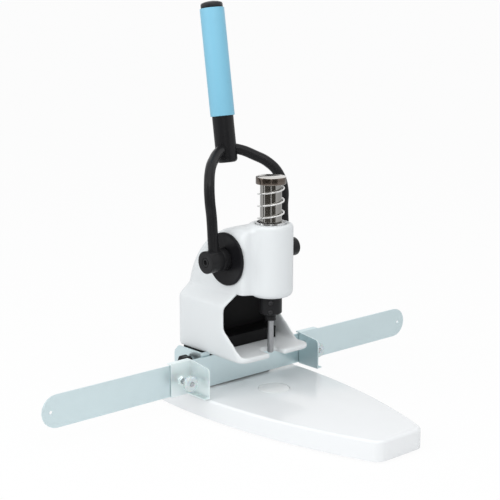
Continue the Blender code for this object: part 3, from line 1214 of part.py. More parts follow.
def make_knob():
    centre = Vector((0, BOSS_Y, ARM_SLOT_Z))
    pivot = empty("knob_turn", centre)
    washer_x = -ARM_OUTER_X - GAP
    washer_profile = [(KNOB_WASHER_RADIUS, KNOB_WASHER_THICKNESS), (KNOB_WASHER_RADIUS, 0),
                      (KNOB_SCREW_RADIUS + GAP, 0), (KNOB_SCREW_RADIUS + GAP, KNOB_WASHER_THICKNESS)]
    washer = turned("knob_washer", washer_profile, (washer_x, 0, 0), STEEL, "x", ring=True, flip=True)
    near = washer_x - KNOB_WASHER_THICKNESS - GAP
    far = near - KNOB_THICKNESS
    edge_share = 1 - KNOB_EDGE / KNOB_RADIUS
    knob = loft("ruler_knob", [knob_outline(edge_share, far), knob_outline(1, far + KNOB_EDGE),
                               knob_outline(1, near - KNOB_EDGE), knob_outline(edge_share, near)], BLACK)
    depth = KNOB_THICKNESS / 2
    bore = rod("knob_bore", KNOB_SCREW_RADIUS + GAP, (near - depth - GAP, 0, 0), (near + OVERRUN, 0, 0))
    cut(smooth(knob), bore)
    screw = rod("knob_screw", KNOB_SCREW_RADIUS, (-ARM_INNER_X + KNOB_SCREW_DEPTH, 0, 0), (near - depth, 0, 0),
                STEEL)
    ride(pivot, washer, knob, screw)
    head_low = ARM_OUTER_X + GAP
    start = ARM_INNER_X - KNOB_SCREW_DEPTH
    guide_profile = [(0, head_low + GUIDE_HEAD_THICKNESS), (GUIDE_HEAD_RADIUS, head_low + GUIDE_HEAD_THICKNESS),
                     (GUIDE_HEAD_RADIUS, head_low), (KNOB_SCREW_RADIUS, head_low), (KNOB_SCREW_RADIUS, start),
                     (0, start)]
    turned("guide_screw", guide_profile, (0, BOSS_Y, ARM_SLOT_Z), STEEL, "x", ROUND)


def make_stop(label, side, inner_x):
    """One position stop: a folded sheet that hooks over the ruler, with its thumb screw."""
    screw_x = inner_x + STOP_SCREW_INSET
    slide = empty(f"stop_{label}_slide", (side * inner_x, RULER_FRONT_Y, RULER_BOTTOM_Z))
    back = RULER_FRONT_Y - GAP
    front = back - STOP_SHEET
    top = RULER_TOP_Z + GAP + STOP_SHEET
    low = STOP_BOTTOM_Z
    ends = sorted((side * (inner_x + STOP_SETBACK), side * (inner_x + STOP_LENGTH)))
    bracket = box(f"stop_{label}", (ends[0], front, low + STOP_SETBACK), (ends[1], back, top - STOP_SETBACK), ZINC)
    hook = box(f"stop_hook_{label}", (ends[0] + GAP, front + GAP, RULER_TOP_Z + GAP),
               (ends[1] - GAP, back + STOP_HOOK_DEPTH, top))
    reach = front - STOP_DEPTH
    inner = back - STOP_SETBACK
    shoulder = top - GAP
    face = rounded([(reach, low, 0), (inner, low, 0), (inner, shoulder, 0), (front, shoulder, 0),
                    (reach, low + STOP_HEIGHT, STOP_CORNER)])
    plate = flat(f"stop_face_{label}", [face], side * inner_x, side * (inner_x + STOP_SHEET), "side")
    flange_ends = sorted((side * (inner_x + GAP), side * (inner_x + STOP_FLANGE)))
    flange = box(f"stop_flange_{label}", (flange_ends[0], reach + GAP, low + STOP_SETBACK),
                 (flange_ends[1], back - GAP, low + STOP_SHEET))
    nut_place = (side * screw_x, front, STOP_SCREW_Z)
    nut = rod(f"stop_nut_{label}", STOP_NUT_RADIUS, (nut_place[0], front + GAP, STOP_SCREW_Z),
              (nut_place[0], front - STOP_NUT_THICKNESS, STOP_SCREW_Z), sides=HEX)
    tap = rod(f"stop_tap_{label}", STOP_SCREW_RADIUS + GAP, (nut_place[0], back + OVERRUN, STOP_SCREW_Z),
              (nut_place[0], front - STOP_NUT_THICKNESS - OVERRUN, STOP_SCREW_Z))
    join(bracket, hook, plate, flange, nut)
    cut(bracket, tap)
    carry(slide, bracket)
    pivot = empty(f"stop_{label}_screw_turn", (side * screw_x, front, STOP_SCREW_Z))
    screw_end = back - STOP_SCREW_LENGTH
    screw = rod(f"stop_screw_{label}", STOP_SCREW_RADIUS, (side * screw_x, back, STOP_SCREW_Z),
                (side * screw_x, screw_end, STOP_SCREW_Z), STEEL)
    disc_profile = [(STOP_DISC_RADIUS - STOP_DISC_EDGE, STOP_DISC_THICKNESS),
                    (STOP_DISC_RADIUS, STOP_DISC_THICKNESS - STOP_DISC_EDGE), (STOP_DISC_RADIUS, STOP_DISC_EDGE),
                    (STOP_DISC_RADIUS - STOP_DISC_EDGE, 0), (STOP_SCREW_RADIUS + GAP, 0),
                    (STOP_SCREW_RADIUS + GAP, STOP_DISC_THICKNESS)]
    disc = turned(f"stop_thumb_{label}", disc_profile,
                  (side * screw_x, screw_end + STOP_DISC_THICKNESS, STOP_SCREW_Z), PALE, "y", ring=True)
    carry(pivot, screw, disc)


make_base()
make_mat()
make_housing()
make_frame()
make_bushes()
make_guide_pin()
make_lever()
make_quill()
make_spindle()
make_spring()
make_carriage()
make_knob()
make_stop("left", -1, LEFT_STOP_X)
make_stop("right", 1, RIGHT_STOP_X)
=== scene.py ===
import math

import bmesh
import bpy
from mathutils import Matrix, Vector


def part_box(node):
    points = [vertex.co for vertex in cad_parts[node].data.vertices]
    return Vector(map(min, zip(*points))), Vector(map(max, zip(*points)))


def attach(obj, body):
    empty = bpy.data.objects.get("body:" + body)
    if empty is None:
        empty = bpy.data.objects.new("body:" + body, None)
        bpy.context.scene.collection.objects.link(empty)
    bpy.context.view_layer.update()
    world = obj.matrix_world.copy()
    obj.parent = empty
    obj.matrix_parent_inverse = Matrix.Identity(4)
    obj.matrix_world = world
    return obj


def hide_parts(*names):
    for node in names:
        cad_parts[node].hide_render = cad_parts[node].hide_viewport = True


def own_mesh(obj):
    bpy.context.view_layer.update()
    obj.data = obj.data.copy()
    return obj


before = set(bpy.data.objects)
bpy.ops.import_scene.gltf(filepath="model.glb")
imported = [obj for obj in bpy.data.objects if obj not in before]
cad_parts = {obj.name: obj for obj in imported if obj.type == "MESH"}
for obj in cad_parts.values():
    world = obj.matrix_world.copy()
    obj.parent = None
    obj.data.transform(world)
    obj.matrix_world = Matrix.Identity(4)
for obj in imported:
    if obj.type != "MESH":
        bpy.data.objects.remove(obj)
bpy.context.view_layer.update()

scene = bpy.context.scene
scene.view_settings.view_transform = "Standard"
print("frame loaded:", len(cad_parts), "nodes")

# Camera at the photograph's angle
cameraSettings = {
    "place": (-0.7702, -0.8144, 0.4053),
    "tilt": 77.63,
    "turn": -41.27,
    "lens": 90.84,
    "sensorWidth": 36,
}
cameraData = bpy.data.cameras.new("studioCamera")
cameraData.lens = cameraSettings["lens"]
cameraData.sensor_width = cameraSettings["sensorWidth"]
camera = bpy.data.objects.new("studioCamera", cameraData)
camera.location = cameraSettings["place"]
camera.rotation_euler = (math.radians(cameraSettings["tilt"]), 0, math.radians(cameraSettings["turn"]))
scene.collection.objects.link(camera)
scene.camera = camera

# Soft studio light: a panel above, one at the left, one in front, and an even world
lightSettings = {
    "world": 0.58,
    "worldTint": (0.97, 0.985, 1.0, 1),
    "aim": (0, 0.03, 0.14),
    "panels": {
        "topPanel": {"place": (-0.25, -0.25, 1.30), "size": 1.3, "power": 4.4},
        "leftPanel": {"place": (-1.15, 0.20, 0.80), "size": 1.0, "power": 6.6},
        "frontPanel": {"place": (-0.40, -1.02, 0.90), "size": 1.0, "power": 5.6},
    },
}


def addPanel(name, settings, aim):
    lamp = bpy.data.lights.new(name, "AREA")
    lamp.shape = "SQUARE"
    lamp.size = settings["size"]
    lamp.energy = settings["power"]
    panel = bpy.data.objects.new(name, lamp)
    panel.location = settings["place"]
    toAim = Vector(aim) - Vector(settings["place"])
    panel.rotation_euler = toAim.to_track_quat("-Z", "Y").to_euler()
    scene.collection.objects.link(panel)


def seenBy(nodes, links, rays):
    # 1 where the ray is of one of these kinds, otherwise 0
    rayKind = nodes.new("ShaderNodeLightPath")
    seen = rayKind.outputs[rays[0]]
    for ray in rays[1:]:
        either = nodes.new("ShaderNodeMath")
        either.operation = "MAXIMUM"
        links.new(seen, either.inputs[0])
        links.new(rayKind.outputs[ray], either.inputs[1])
        seen = either.outputs[0]
    return seen


def mixShaders(nodes, links, share, first, second, output):
    # The first shader where the share is 0, the second where it is 1
    mix = nodes.new("ShaderNodeMixShader")
    links.new(share, mix.inputs["Fac"])
    links.new(first.outputs[0], mix.inputs[1])
    links.new(second.outputs[0], mix.inputs[2])
    links.new(mix.outputs[0], output.inputs["Surface"])


for panelName, panelSettings in lightSettings["panels"].items():
    addPanel(panelName, panelSettings, lightSettings["aim"])

world = bpy.data.worlds.new("studioWorld")
world.use_nodes = True
scene.world = world
worldNodes = world.node_tree.nodes
worldLinks = world.node_tree.links
worldNodes.clear()
evenLight = worldNodes.new("ShaderNodeBackground")
evenLight.inputs["Color"].default_value = lightSettings["worldTint"]
evenLight.inputs["Strength"].default_value = lightSettings["world"]
seenWhite = worldNodes.new("ShaderNodeBackground")
seenWhite.inputs["Color"].default_value = (1, 1, 1, 1)
whiteShare = seenBy(worldNodes, worldLinks, ("Is Camera Ray", "Is Glossy Ray", "Is Transmission Ray"))
worldOut = worldNodes.new("ShaderNodeOutputWorld")
mixShaders(worldNodes, worldLinks, whiteShare, evenLight, seenWhite, worldOut)
print("camera, panels and world ready")


# Shader groups that several finishes share
def newGroup(name, inputs, outputs):
    group = bpy.data.node_groups.new(name, "ShaderNodeTree")
    for label, (kind, value) in inputs.items():
        socket = group.interface.new_socket(name=label, in_out="INPUT", socket_type=kind)
        socket.default_value = value
    for label, kind in outputs.items():
        group.interface.new_socket(name=label, in_out="OUTPUT", socket_type=kind)
    return group, group.nodes.new("NodeGroupInput"), group.nodes.new("NodeGroupOutput")


def addNoise(nodes, links, vector, detail):
    noise = nodes.new("ShaderNodeTexNoise")
    noise.inputs["Detail"].default_value = detail
    links.new(vector, noise.inputs["Vector"])
    return noise


def spreadRoughness(nodes, links, given, noise, low, high):
    # Spreads the middle of a noise between the group's Smooth and Rough values
    spread = nodes.new("ShaderNodeMapRange")
    spread.inputs["From Min"].default_value = low
    spread.inputs["From Max"].default_value = high
    links.new(noise.outputs["Fac"], spread.inputs["Value"])
    links.new(given.outputs["Smooth"], spread.inputs["To Min"])
    links.new(given.outputs["Rough"], spread.inputs["To Max"])
    return spread.outputs["Result"]


def makeToneDrift():
    # Slow change of tone over a surface, with finer ones on top. Shift is its share of the tone
    group, given, result = newGroup(
        "toneDrift",
        {"Colour": ("NodeSocketColor", (0.8, 0.8, 0.8, 1)), "Shift": ("NodeSocketFloat", 0.04),
         "Scale": ("NodeSocketFloat", 12.0)},
        {"Colour": "NodeSocketColor"})
    nodes, links = group.nodes, group.links
    place = nodes.new("ShaderNodeTexCoord")
    cloud = addNoise(nodes, links, place.outputs["Object"], 5)
    cloud.inputs["Roughness"].default_value = 0.62
    links.new(given.outputs["Scale"], cloud.inputs["Scale"])
    centred = nodes.new("ShaderNodeMath")
    centred.operation = "SUBTRACT"
    centred.inputs[1].default_value = 0.5
    links.new(cloud.outputs["Fac"], centred.inputs[0])
    sized = nodes.new("ShaderNodeMath")
    sized.operation = "MULTIPLY_ADD"
    sized.inputs[2].default_value = 1.0
    links.new(centred.outputs[0], sized.inputs[0])
    links.new(given.outputs["Shift"], sized.inputs[1])
    toned = nodes.new("ShaderNodeVectorMath")
    toned.operation = "SCALE"
    links.new(given.outputs["Colour"], toned.inputs[0])
    links.new(sized.outputs[0], toned.inputs["Scale"])
    links.new(toned.outputs[0], result.inputs["Colour"])
    return group


def makeFineSkin():
    # Orange peel or sand grain as a height for Bump, and a roughness that changes in patches
    group, given, result = newGroup(
        "fineSkin",
        {"Scale": ("NodeSocketFloat", 900.0), "Smooth": ("NodeSocketFloat", 0.25),
         "Rough": ("NodeSocketFloat", 0.35)},
        {"Height": "NodeSocketFloat", "Roughness": "NodeSocketFloat"})
    nodes, links = group.nodes, group.links
    place = nodes.new("ShaderNodeTexCoord")
    peel = addNoise(nodes, links, place.outputs["Object"], 3)
    links.new(given.outputs["Scale"], peel.inputs["Scale"])
    patch = addNoise(nodes, links, place.outputs["Object"], 6)
    patch.inputs["Scale"].default_value = 45
    links.new(peel.outputs["Fac"], result.inputs["Height"])
    links.new(spreadRoughness(nodes, links, given, patch, 0.3, 0.7), result.inputs["Roughness"])
    return group


def makeDrawnLines():
    # Fine lines along one direction, as rolling, drawing or turning leaves them
    group, given, result = newGroup(
        "drawnLines",
        {"Stretch": ("NodeSocketVector", (20.0, 900.0, 900.0)), "Smooth": ("NodeSocketFloat", 0.22),
         "Rough": ("NodeSocketFloat", 0.42)},
        {"Height": "NodeSocketFloat", "Roughness": "NodeSocketFloat"})
    nodes, links = group.nodes, group.links
    place = nodes.new("ShaderNodeTexCoord")
    stretched = nodes.new("ShaderNodeVectorMath")
    stretched.operation = "MULTIPLY"
    links.new(place.outputs["Object"], stretched.inputs[0])
    links.new(given.outputs["Stretch"], stretched.inputs[1])
    line = addNoise(nodes, links, stretched.outputs[0], 4)
    line.inputs["Scale"].default_value = 1.0
    links.new(line.outputs["Fac"], result.inputs["Height"])
    links.new(spreadRoughness(nodes, links, given, line, 0.25, 0.75), result.inputs["Roughness"])
    return group


toneDrift = makeToneDrift()
fineSkin = makeFineSkin()
drawnLines = makeDrawnLines()


def placeGroup(material, group, values):
    node = material.node_tree.nodes.new("ShaderNodeGroup")
    node.node_tree = group
    for label, value in values.items():
        node.inputs[label].default_value = value
    return node


def newFinish(name, colour, metallic, tone, texture, textureValues, bump, bumpDistance=0.0001, sockets=None):
    # One finish: colour with a tone of (shift, scale), textured roughness and bump, and plain other sockets
    material = bpy.data.materials.new(name)
    material.use_nodes = True
    shader = material.node_tree.nodes["Principled BSDF"]
    links = material.node_tree.links
    shift, scale = tone
    toned = placeGroup(material, toneDrift, {"Colour": (*colour, 1), "Shift": shift, "Scale": scale})
    links.new(toned.outputs["Colour"], shader.inputs["Base Color"])
    shader.inputs["Metallic"].default_value = metallic
    skin = placeGroup(material, texture, textureValues)
    links.new(skin.outputs["Roughness"], shader.inputs["Roughness"])
    relief = material.node_tree.nodes.new("ShaderNodeBump")
    relief.inputs["Strength"].default_value = bump
    relief.inputs["Distance"].default_value = bumpDistance
    links.new(skin.outputs["Height"], relief.inputs["Height"])
    links.new(relief.outputs["Normal"], shader.inputs["Normal"])
    for label, value in (sockets or {}).items():
        shader.inputs[label].default_value = value
    material.diffuse_color = (*colour, 1)
    return material


def grained(name, colour, grain, smooth, rough, metallic=0.0, **looks):
    # Paint, plastic, rubber, cast or treated metal
    values = {"Scale": grain, "Smooth": smooth, "Rough": rough}
    return newFinish(name, colour, metallic, texture=fineSkin, textureValues=values, **looks)


def drawn(name, colour, stretch, smooth, rough, **looks):
    # Bare metal with the lines of its making
    values = {"Stretch": stretch, "Smooth": smooth, "Rough": rough}
    return newFinish(name, colour, 1.0, texture=drawnLines, textureValues=values, **looks)


basePaint = grained("basePaint", (0.80, 0.815, 0.825), 420.0, 0.16, 0.26, tone=(0.03, 9), bump=0.10,
                    sockets={"Coat Weight": 0.35, "Coat Roughness": 0.08})
housingShell = grained("housingShell", (0.70, 0.725, 0.735), 700.0, 0.34, 0.42, tone=(0.03, 11), bump=0.06,
                       sockets={"Specular IOR Level": 0.4})
castBlack = grained("castBlack", (0.005, 0.005, 0.0055), 1500.0, 0.40, 0.58, tone=(0.3, 40), bump=0.5,
                    bumpDistance=0.0003, sockets={"Specular IOR Level": 0.12})
satinBlack = grained("satinBlack", (0.013, 0.013, 0.014), 800.0, 0.24, 0.36, tone=(0.2, 30), bump=0.12,
                     sockets={"Specular IOR Level": 0.15})
discBlack = grained("discBlack", (0.009, 0.009, 0.0105), 2600.0, 0.34, 0.46, tone=(0.15, 25), bump=0.25,
                    sockets={"Specular IOR Level": 0.12})
turnedSteel = drawn("turnedSteel", (0.62, 0.63, 0.64), (60.0, 60.0, 2600.0), 0.16, 0.34, tone=(0.12, 60),
                    bump=0.12)
drillSteel = drawn("drillSteel", (0.36, 0.365, 0.375), (60.0, 60.0, 2200.0), 0.30, 0.46, tone=(0.12, 80),
                   bump=0.10)
screwBlack = grained("screwBlack", (0.07, 0.07, 0.073), 1800.0, 0.22, 0.4, 1.0, tone=(0.2, 90), bump=0.15)
boltSteel = grained("boltSteel", (0.50, 0.52, 0.54), 1800.0, 0.25, 0.45, 1.0, tone=(0.15, 80), bump=0.15)
springWire = drawn("springWire", (0.80, 0.80, 0.79), (700.0, 700.0, 700.0), 0.14, 0.3, tone=(0.12, 90),
                   bump=0.05)
chromeColumn = drawn("chromeColumn", (0.38, 0.372, 0.355), (90.0, 90.0, 1400.0), 0.07, 0.16, tone=(0.1, 70),
                     bump=0.05)
capNickel = drawn("capNickel", (0.62, 0.60, 0.57), (90.0, 90.0, 1500.0), 0.10, 0.22, tone=(0.12, 60),
                  bump=0.05)
# Dark brown metal for the cap's side: partly the knurled band's own tone, partly painted shade for the knurl,
# which is not modelled
capSideToneAndShade = drawn("capSideToneAndShade", (0.17, 0.14, 0.12), (90.0, 90.0, 1500.0), 0.14, 0.26, tone=(0.15, 60),
                     bump=0.05)
bearingBronze = drawn("bearingBronze", (0.50, 0.33, 0.14), (60.0, 60.0, 1800.0), 0.22, 0.42,
                      tone=(0.25, 60), bump=0.1)
zincSheet = drawn("zincSheet", (0.66, 0.775, 0.80), (24.0, 700.0, 700.0), 0.30, 0.42, tone=(0.07, 35),
                  bump=0.025)
# A paler copy of the zinc sheet, as painted glare: the same zinc, made lighter to stand in for a bright
# reflection
zincPaintedGlare = drawn("zincPaintedGlare", (0.90, 0.97, 0.975), (30.0, 600.0, 600.0), 0.36, 0.5, tone=(0.06, 40),
                 bump=0.025)
footRubber = grained("footRubber", (0.02, 0.02, 0.02), 1600.0, 0.7, 0.85, tone=(0.2, 50), bump=0.3)
gripBlue = grained("gripBlue", (0.190, 0.475, 0.635), 1900.0, 0.42, 0.55, tone=(0.05, 16), bump=0.25,
                   sockets={"Sheen Weight": 0.15, "Sheen Roughness": 0.5})
matDisc = grained("matDisc", (0.80, 0.82, 0.82), 1400.0, 0.35, 0.5, tone=(0.05, 60), bump=0.2)
thumbPlastic = grained("thumbPlastic", (0.80, 0.86, 0.87), 900.0, 0.2, 0.32, tone=(0.05, 60), bump=0.08,
                       sockets={"Transmission Weight": 0.35, "Subsurface Weight": 0.2})
capSpeckle = grained("capSpeckle", (0.014, 0.014, 0.016), 1300.0, 0.22, 0.4, tone=(0.9, 900), bump=0.9,
                     bumpDistance=0.0003, sockets={"Specular IOR Level": 0.3})
print("finishes ready")

# Finishes of the CAD nodes that stay as they are
plainNodes = (
    (boltSteel, ("base_plate", "guide_pin", "pinion_key", "frame_bolt_1", "frame_bolt_2", "frame_bolt_3",
                 "frame_bolt_4")),
    (turnedSteel, ("pinion", "cross_shaft", "spindle")),
    (bearingBronze, ("thrust_washer", "quill_bush_upper", "quill_bush_lower", "shaft_bush_left",
                     "shaft_bush_right")),
    (springWire, ("retaining_ring",)),
    (footRubber, ("foot_front_left", "foot_front_right", "foot_rear_left", "foot_rear_right")),
)
for finish, nodeNames in plainNodes:
    for nodeName in nodeNames:
        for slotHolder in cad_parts[nodeName].material_slots:
            slotHolder.material = finish

# Points closer than this become one, by where the mesh comes from
weldGaps = {"cad": 0.00001, "carved": 0.000005, "fresh": 0.000001}

# Widths of the soft edges of CAD nodes that are merged and kept
edgeWidths = {"tiny": 0.0001, "fine": 0.0002, "plain": 0.0003, "thumb": 0.0004, "chuck": 0.0005, "cover": 0.0006}


# Helpers that make and finish pieces
def addPiece(name, work, finish, body, stands, sharp=35):
    mesh = bpy.data.meshes.new(name)
    work.to_mesh(mesh)
    work.free()
    mesh.materials.append(finish)
    mesh.shade_smooth()
    mesh.set_sharp_from_angle(angle=math.radians(sharp))
    piece = bpy.data.objects.new(name, mesh)
    scene.collection.objects.link(piece)
    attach(piece, body)
    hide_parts(*stands)
    return piece


def softEdges(piece, width, segments, limit=35):
    # Rounds the piece's edges and keeps its flats flat
    edges = piece.modifiers.new("softEdges", "BEVEL")
    edges.width = width
    edges.segments = segments
    edges.limit_method = "ANGLE"
    edges.angle_limit = math.radians(limit)
    edges.use_clamp_overlap = True
    edges.miter_outer = "MITER_ARC"
    flats = piece.modifiers.new("flats", "WEIGHTED_NORMAL")
    flats.keep_sharp = True


def merged(node):
    # A CAD node's mesh as one skin, with its flat faces whole
    work = bmesh.new()
    work.from_mesh(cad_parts[node].data)
    bmesh.ops.remove_doubles(work, verts=work.verts, dist=weldGaps["cad"])
    bmesh.ops.dissolve_limit(work, angle_limit=math.radians(1), verts=work.verts, edges=work.edges)
    return work


def refined(node, finish, body, edge="plain", segments=2):
    # A merged copy of a CAD node with soft edges
    piece = addPiece(f"{node}_fine", merged(node), finish, body, (node,))
    softEdges(piece, edgeWidths[edge], segments)
    return piece


def bevelled(work, geom, width, segments, affect="EDGES", clamp=False):
    bmesh.ops.bevel(work, geom=geom, offset=width, offset_type="OFFSET", segments=segments, profile=0.5,
                    affect=affect, material=-1, clamp_overlap=clamp)


def lathed(profile, steps=72, edge=0.0003, segments=2, closed=False, least=30):
    # Turns a profile of (radius, height) points about Z and rounds its edges
    work = bmesh.new()
    points = [work.verts.new((radius, 0, height)) for radius, height in profile]
    pairs = list(zip(points, points[1:]))
    if closed:
        pairs.append((points[-1], points[0]))
    for first, second in pairs:
        work.edges.new((first, second))
    bmesh.ops.spin(work, geom=work.verts[:] + work.edges[:], cent=(0, 0, 0), axis=(0, 0, 1),
                   angle=2 * math.pi, steps=steps, use_merge=True)
    bmesh.ops.remove_doubles(work, verts=work.verts, dist=weldGaps["fresh"])
    bmesh.ops.recalc_face_normals(work, faces=work.faces)
    if edge:
        sharpEdges = [item for item in work.edges
                      if len(item.link_faces) == 2 and item.calc_face_angle(0) > math.radians(least)]
        bevelled(work, sharpEdges, edge, segments, clamp=True)
    return work


def rimAt(work, height, near=0.0001, least=0.6):
    # The sharp edges that lie at this height
    return [edge for edge in work.edges if edge.calc_face_angle(0) > least
            and all(abs(vertex.co.z - height) < near for vertex in edge.verts)]


def moved(work, matrix):
    bmesh.ops.transform(work, matrix=matrix, verts=work.verts)
    return work


def blockWork(low, high):
    work = bmesh.new()
    low, high = Vector(low), Vector(high)
    bmesh.ops.create_cube(work, size=1.0, matrix=Matrix.Translation((low + high) / 2)
                          @ Matrix.Diagonal((*(high - low), 1)))
    return work


def pointsOf(geom):
    return [item for item in geom if isinstance(item, bmesh.types.BMVert)]


def raised(work, height):
    # Gives a flat outline this height, upwards
    grown = bmesh.ops.extrude_face_region(work, geom=work.faces[:])
    bmesh.ops.translate(work, verts=pointsOf(grown["geom"]), vec=(0, 0, height))
    bmesh.ops.recalc_face_normals(work, faces=work.faces)
    return work


def arcEnds(work, place, centre, angle, steps):
    # Spins a new point about Z and returns the arc's first and last point
    first = work.verts.new(place)
    spun = bmesh.ops.spin(work, geom=[first], cent=centre, axis=(0, 0, 1), angle=angle, steps=steps)
    return first, pointsOf(spun["geom_last"])[0]


def cornerReach(vertex, radius):
    # How far from a corner an arc of this radius starts
    before, after = [(edge.other_vert(vertex).co - vertex.co).normalized() for edge in vertex.link_edges]
    return radius / math.tan(before.angle(after) / 2)


def platePrism(corners, low, high, segments=8):
    # A flat outline with rounded corners, given as (across, up, radius), raised from low to high along Z
    work = bmesh.new()
    rim = [work.verts.new((across, up, low)) for across, up, _ in corners]
    work.faces.new(rim)
    for vertex, (_, _, radius) in zip(rim, corners):
        if radius:
            bevelled(work, [vertex], cornerReach(vertex, radius), segments, "VERTICES")
    return raised(work, high - low)


# sideUp turns a plate's outline to (along, up), frontUp turns it to (across, up)
sideUp = Matrix(((0, 0, 1, 0), (1, 0, 0, 0), (0, 1, 0, 0), (0, 0, 0, 1)))
frontUp = Matrix(((1, 0, 0, 0), (0, 0, -1, 0), (0, 1, 0, 0), (0, 0, 0, 1)))


def looseObject(name, data):
    item = bpy.data.objects.new(name, data)
    scene.collection.objects.link(item)
    return item


def looseMesh(name, work):
    mesh = bpy.data.meshes.new(name)
    work.to_mesh(mesh)
    work.free()
    return looseObject(name, mesh)


def settledWork(item):
    # The object's final mesh, as a new bmesh
    bpy.context.view_layer.update()
    mesh = bpy.data.meshes.new_from_object(item.evaluated_get(bpy.context.evaluated_depsgraph_get()))
    work = bmesh.new()
    work.from_mesh(mesh)
    bpy.data.meshes.remove(mesh)
    return work


def carved(work, steps):
    # Joins or cuts other shapes in turn and returns the result
    target = looseMesh("carveTarget", work)
    tools = []
    for index, (operation, tool) in enumerate(steps):
        cutter = looseMesh(f"carveTool{index}", tool)
        change = target.modifiers.new(f"step{index}", "BOOLEAN")
        change.operation = operation
        change.solver = "EXACT"
        change.object = cutter
        tools.append(cutter)
    result = settledWork(target)
    for item in [target] + tools:
        bpy.data.objects.remove(item, do_unlink=True)
    bmesh.ops.remove_doubles(result, verts=result.verts, dist=weldGaps["carved"])
    return result


def sweptBar(name, points, radius, smoothPath=True, sides=6, steps=8):
    # A round bar along points, made as a curve and turned into a mesh
    curve = bpy.data.curves.new(name, "CURVE")
    curve.dimensions = "3D"
    curve.bevel_depth = radius
    curve.bevel_resolution = sides
    curve.resolution_u = steps
    curve.use_fill_caps = True
    spline = curve.splines.new("BEZIER" if smoothPath else "POLY")
    if smoothPath:
        spline.bezier_points.add(len(points) - 1)
        for knot, point in zip(spline.bezier_points, points):
            knot.co = point
            knot.handle_left_type = "AUTO"
            knot.handle_right_type = "AUTO"
    else:
        spline.points.add(len(points) - 1)
        for knot, point in zip(spline.points, points):
            knot.co = (*point, 1)
    holder = looseObject(name, curve)
    work = settledWork(holder)
    bpy.data.objects.remove(holder, do_unlink=True)
    bmesh.ops.remove_doubles(work, verts=work.verts, dist=weldGaps["fresh"])
    bmesh.ops.recalc_face_normals(work, faces=work.faces)
    return work


# Places that several pieces share
drillY = 0.034
pivot = Vector((0, 0.05870, 0.1464))
leverLean = math.radians(8.5)
leverPlace = Matrix.Translation(pivot) @ Matrix.Rotation(-leverLean, 4, "X")
drillPlace = Matrix.Translation((0, drillY, 0))
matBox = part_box("cutting_mat")
matCentre = (matBox[0] + matBox[1]) / 2

# Base: one casting with long bowed sides
baseSettings = {
    "frontY": -0.134,
    "rearY": 0.134,
    "halfWidth": 0.0685,
    "widestY": 0.074,
    "sideRadius": 0.546,
    "frontCorner": 0.011,
    "rearCorner": 0.025,
    "cornerSteps": 14,
    "bottom": 0.0015,
    "top": 0.020,
    "topRound": 0.0028,
    "recess": 0.0034,
    "recessTop": 0.0056,
    "pocketRadius": 0.0153,
    "pocketMouth": 0.0156,
    "pocketLip": 0.0002,
    "pocketGap": 0.0003,
    "overrun": 0.001,
}


def baseOutline(settings):
    # The right side is spun as one arc and mirrored, and the corners are rounded after that
    work = bmesh.new()
    radius, widest, bottom = settings["sideRadius"], settings["widestY"], settings["bottom"]
    centreX = settings["halfWidth"] - radius
    start = math.asin((settings["frontY"] - widest) / radius)
    end = math.asin((settings["rearY"] - widest) / radius)
    first, last = arcEnds(work, (centreX + radius * math.cos(start), settings["frontY"], bottom),
                          (centreX, widest, bottom), end - start, 48)
    bmesh.ops.mirror(work, geom=work.verts[:] + work.edges[:], axis="X", merge_dist=-1)
    twinFirst = min((vertex for vertex in work.verts if vertex.co.x < 0), key=lambda vertex: vertex.co.y)
    twinLast = max((vertex for vertex in work.verts if vertex.co.x < 0), key=lambda vertex: vertex.co.y)
    work.edges.new((first, twinFirst))
    work.edges.new((last, twinLast))
    bmesh.ops.contextual_create(work, geom=work.edges[:])
    for vertex, corner in ((first, settings["frontCorner"]), (twinFirst, settings["frontCorner"]),
                           (last, settings["rearCorner"]), (twinLast, settings["rearCorner"])):
        reach = cornerReach(vertex, corner)
        # The arc's own points within the corner go first, with 2 percent to spare
        trimmed = [other for other in work.verts if other is not vertex
                   and (other.co - vertex.co).length < reach * 1.02 and len(other.link_edges) == 2]
        bmesh.ops.dissolve_verts(work, verts=trimmed)
        bevelled(work, [vertex], reach, settings["cornerSteps"], "VERTICES")
    return work


def makeBase(settings):
    bottom, top, overrun = settings["bottom"], settings["top"], settings["overrun"]
    work = raised(baseOutline(settings), top - bottom)
    bevelled(work, rimAt(work, top), settings["topRound"], 6)
    hollow = baseOutline(settings)
    bmesh.ops.inset_region(hollow, faces=hollow.faces[:], thickness=settings["recess"], use_even_offset=True)
    border = [face for face in hollow.faces if any(edge.is_boundary for edge in face.edges)]
    bmesh.ops.delete(hollow, geom=border, context="FACES")
    bmesh.ops.translate(hollow, verts=hollow.verts, vec=(0, 0, -overrun))
    raised(hollow, settings["recessTop"] - bottom + overrun)
    radius, mouth = settings["pocketRadius"], settings["pocketMouth"]
    low = matBox[0].z - settings["pocketGap"]
    pocket = lathed([(0, top + overrun), (mouth, top + overrun), (radius, top - settings["pocketLip"]),
                     (radius, low), (0, low)], edge=0)
    moved(pocket, Matrix.Translation((matCentre.x, matCentre.y, 0)))
    return carved(work, (("DIFFERENCE", hollow), ("DIFFERENCE", pocket)))


addPiece("baseCasting", makeBase(baseSettings), basePaint, "body", ("base",), sharp=40)

# Cutting mat, as high as the CAD's and with a softer edge
matSettings = {
    "radius": 0.0149,
    "edge": 0.0004,
}


def makeMat(settings):
    height = matBox[1].z - matBox[0].z
    profile = [(0, height), (settings["radius"], height), (settings["radius"], 0), (0, 0)]
    work = lathed(profile, steps=96, edge=settings["edge"])
    return moved(work, Matrix.Translation((matCentre.x, matCentre.y, matBox[0].z)))


addPiece("cuttingMat", makeMat(matSettings), matDisc, "mat", ("cutting_mat",))
print("base and mat ready")

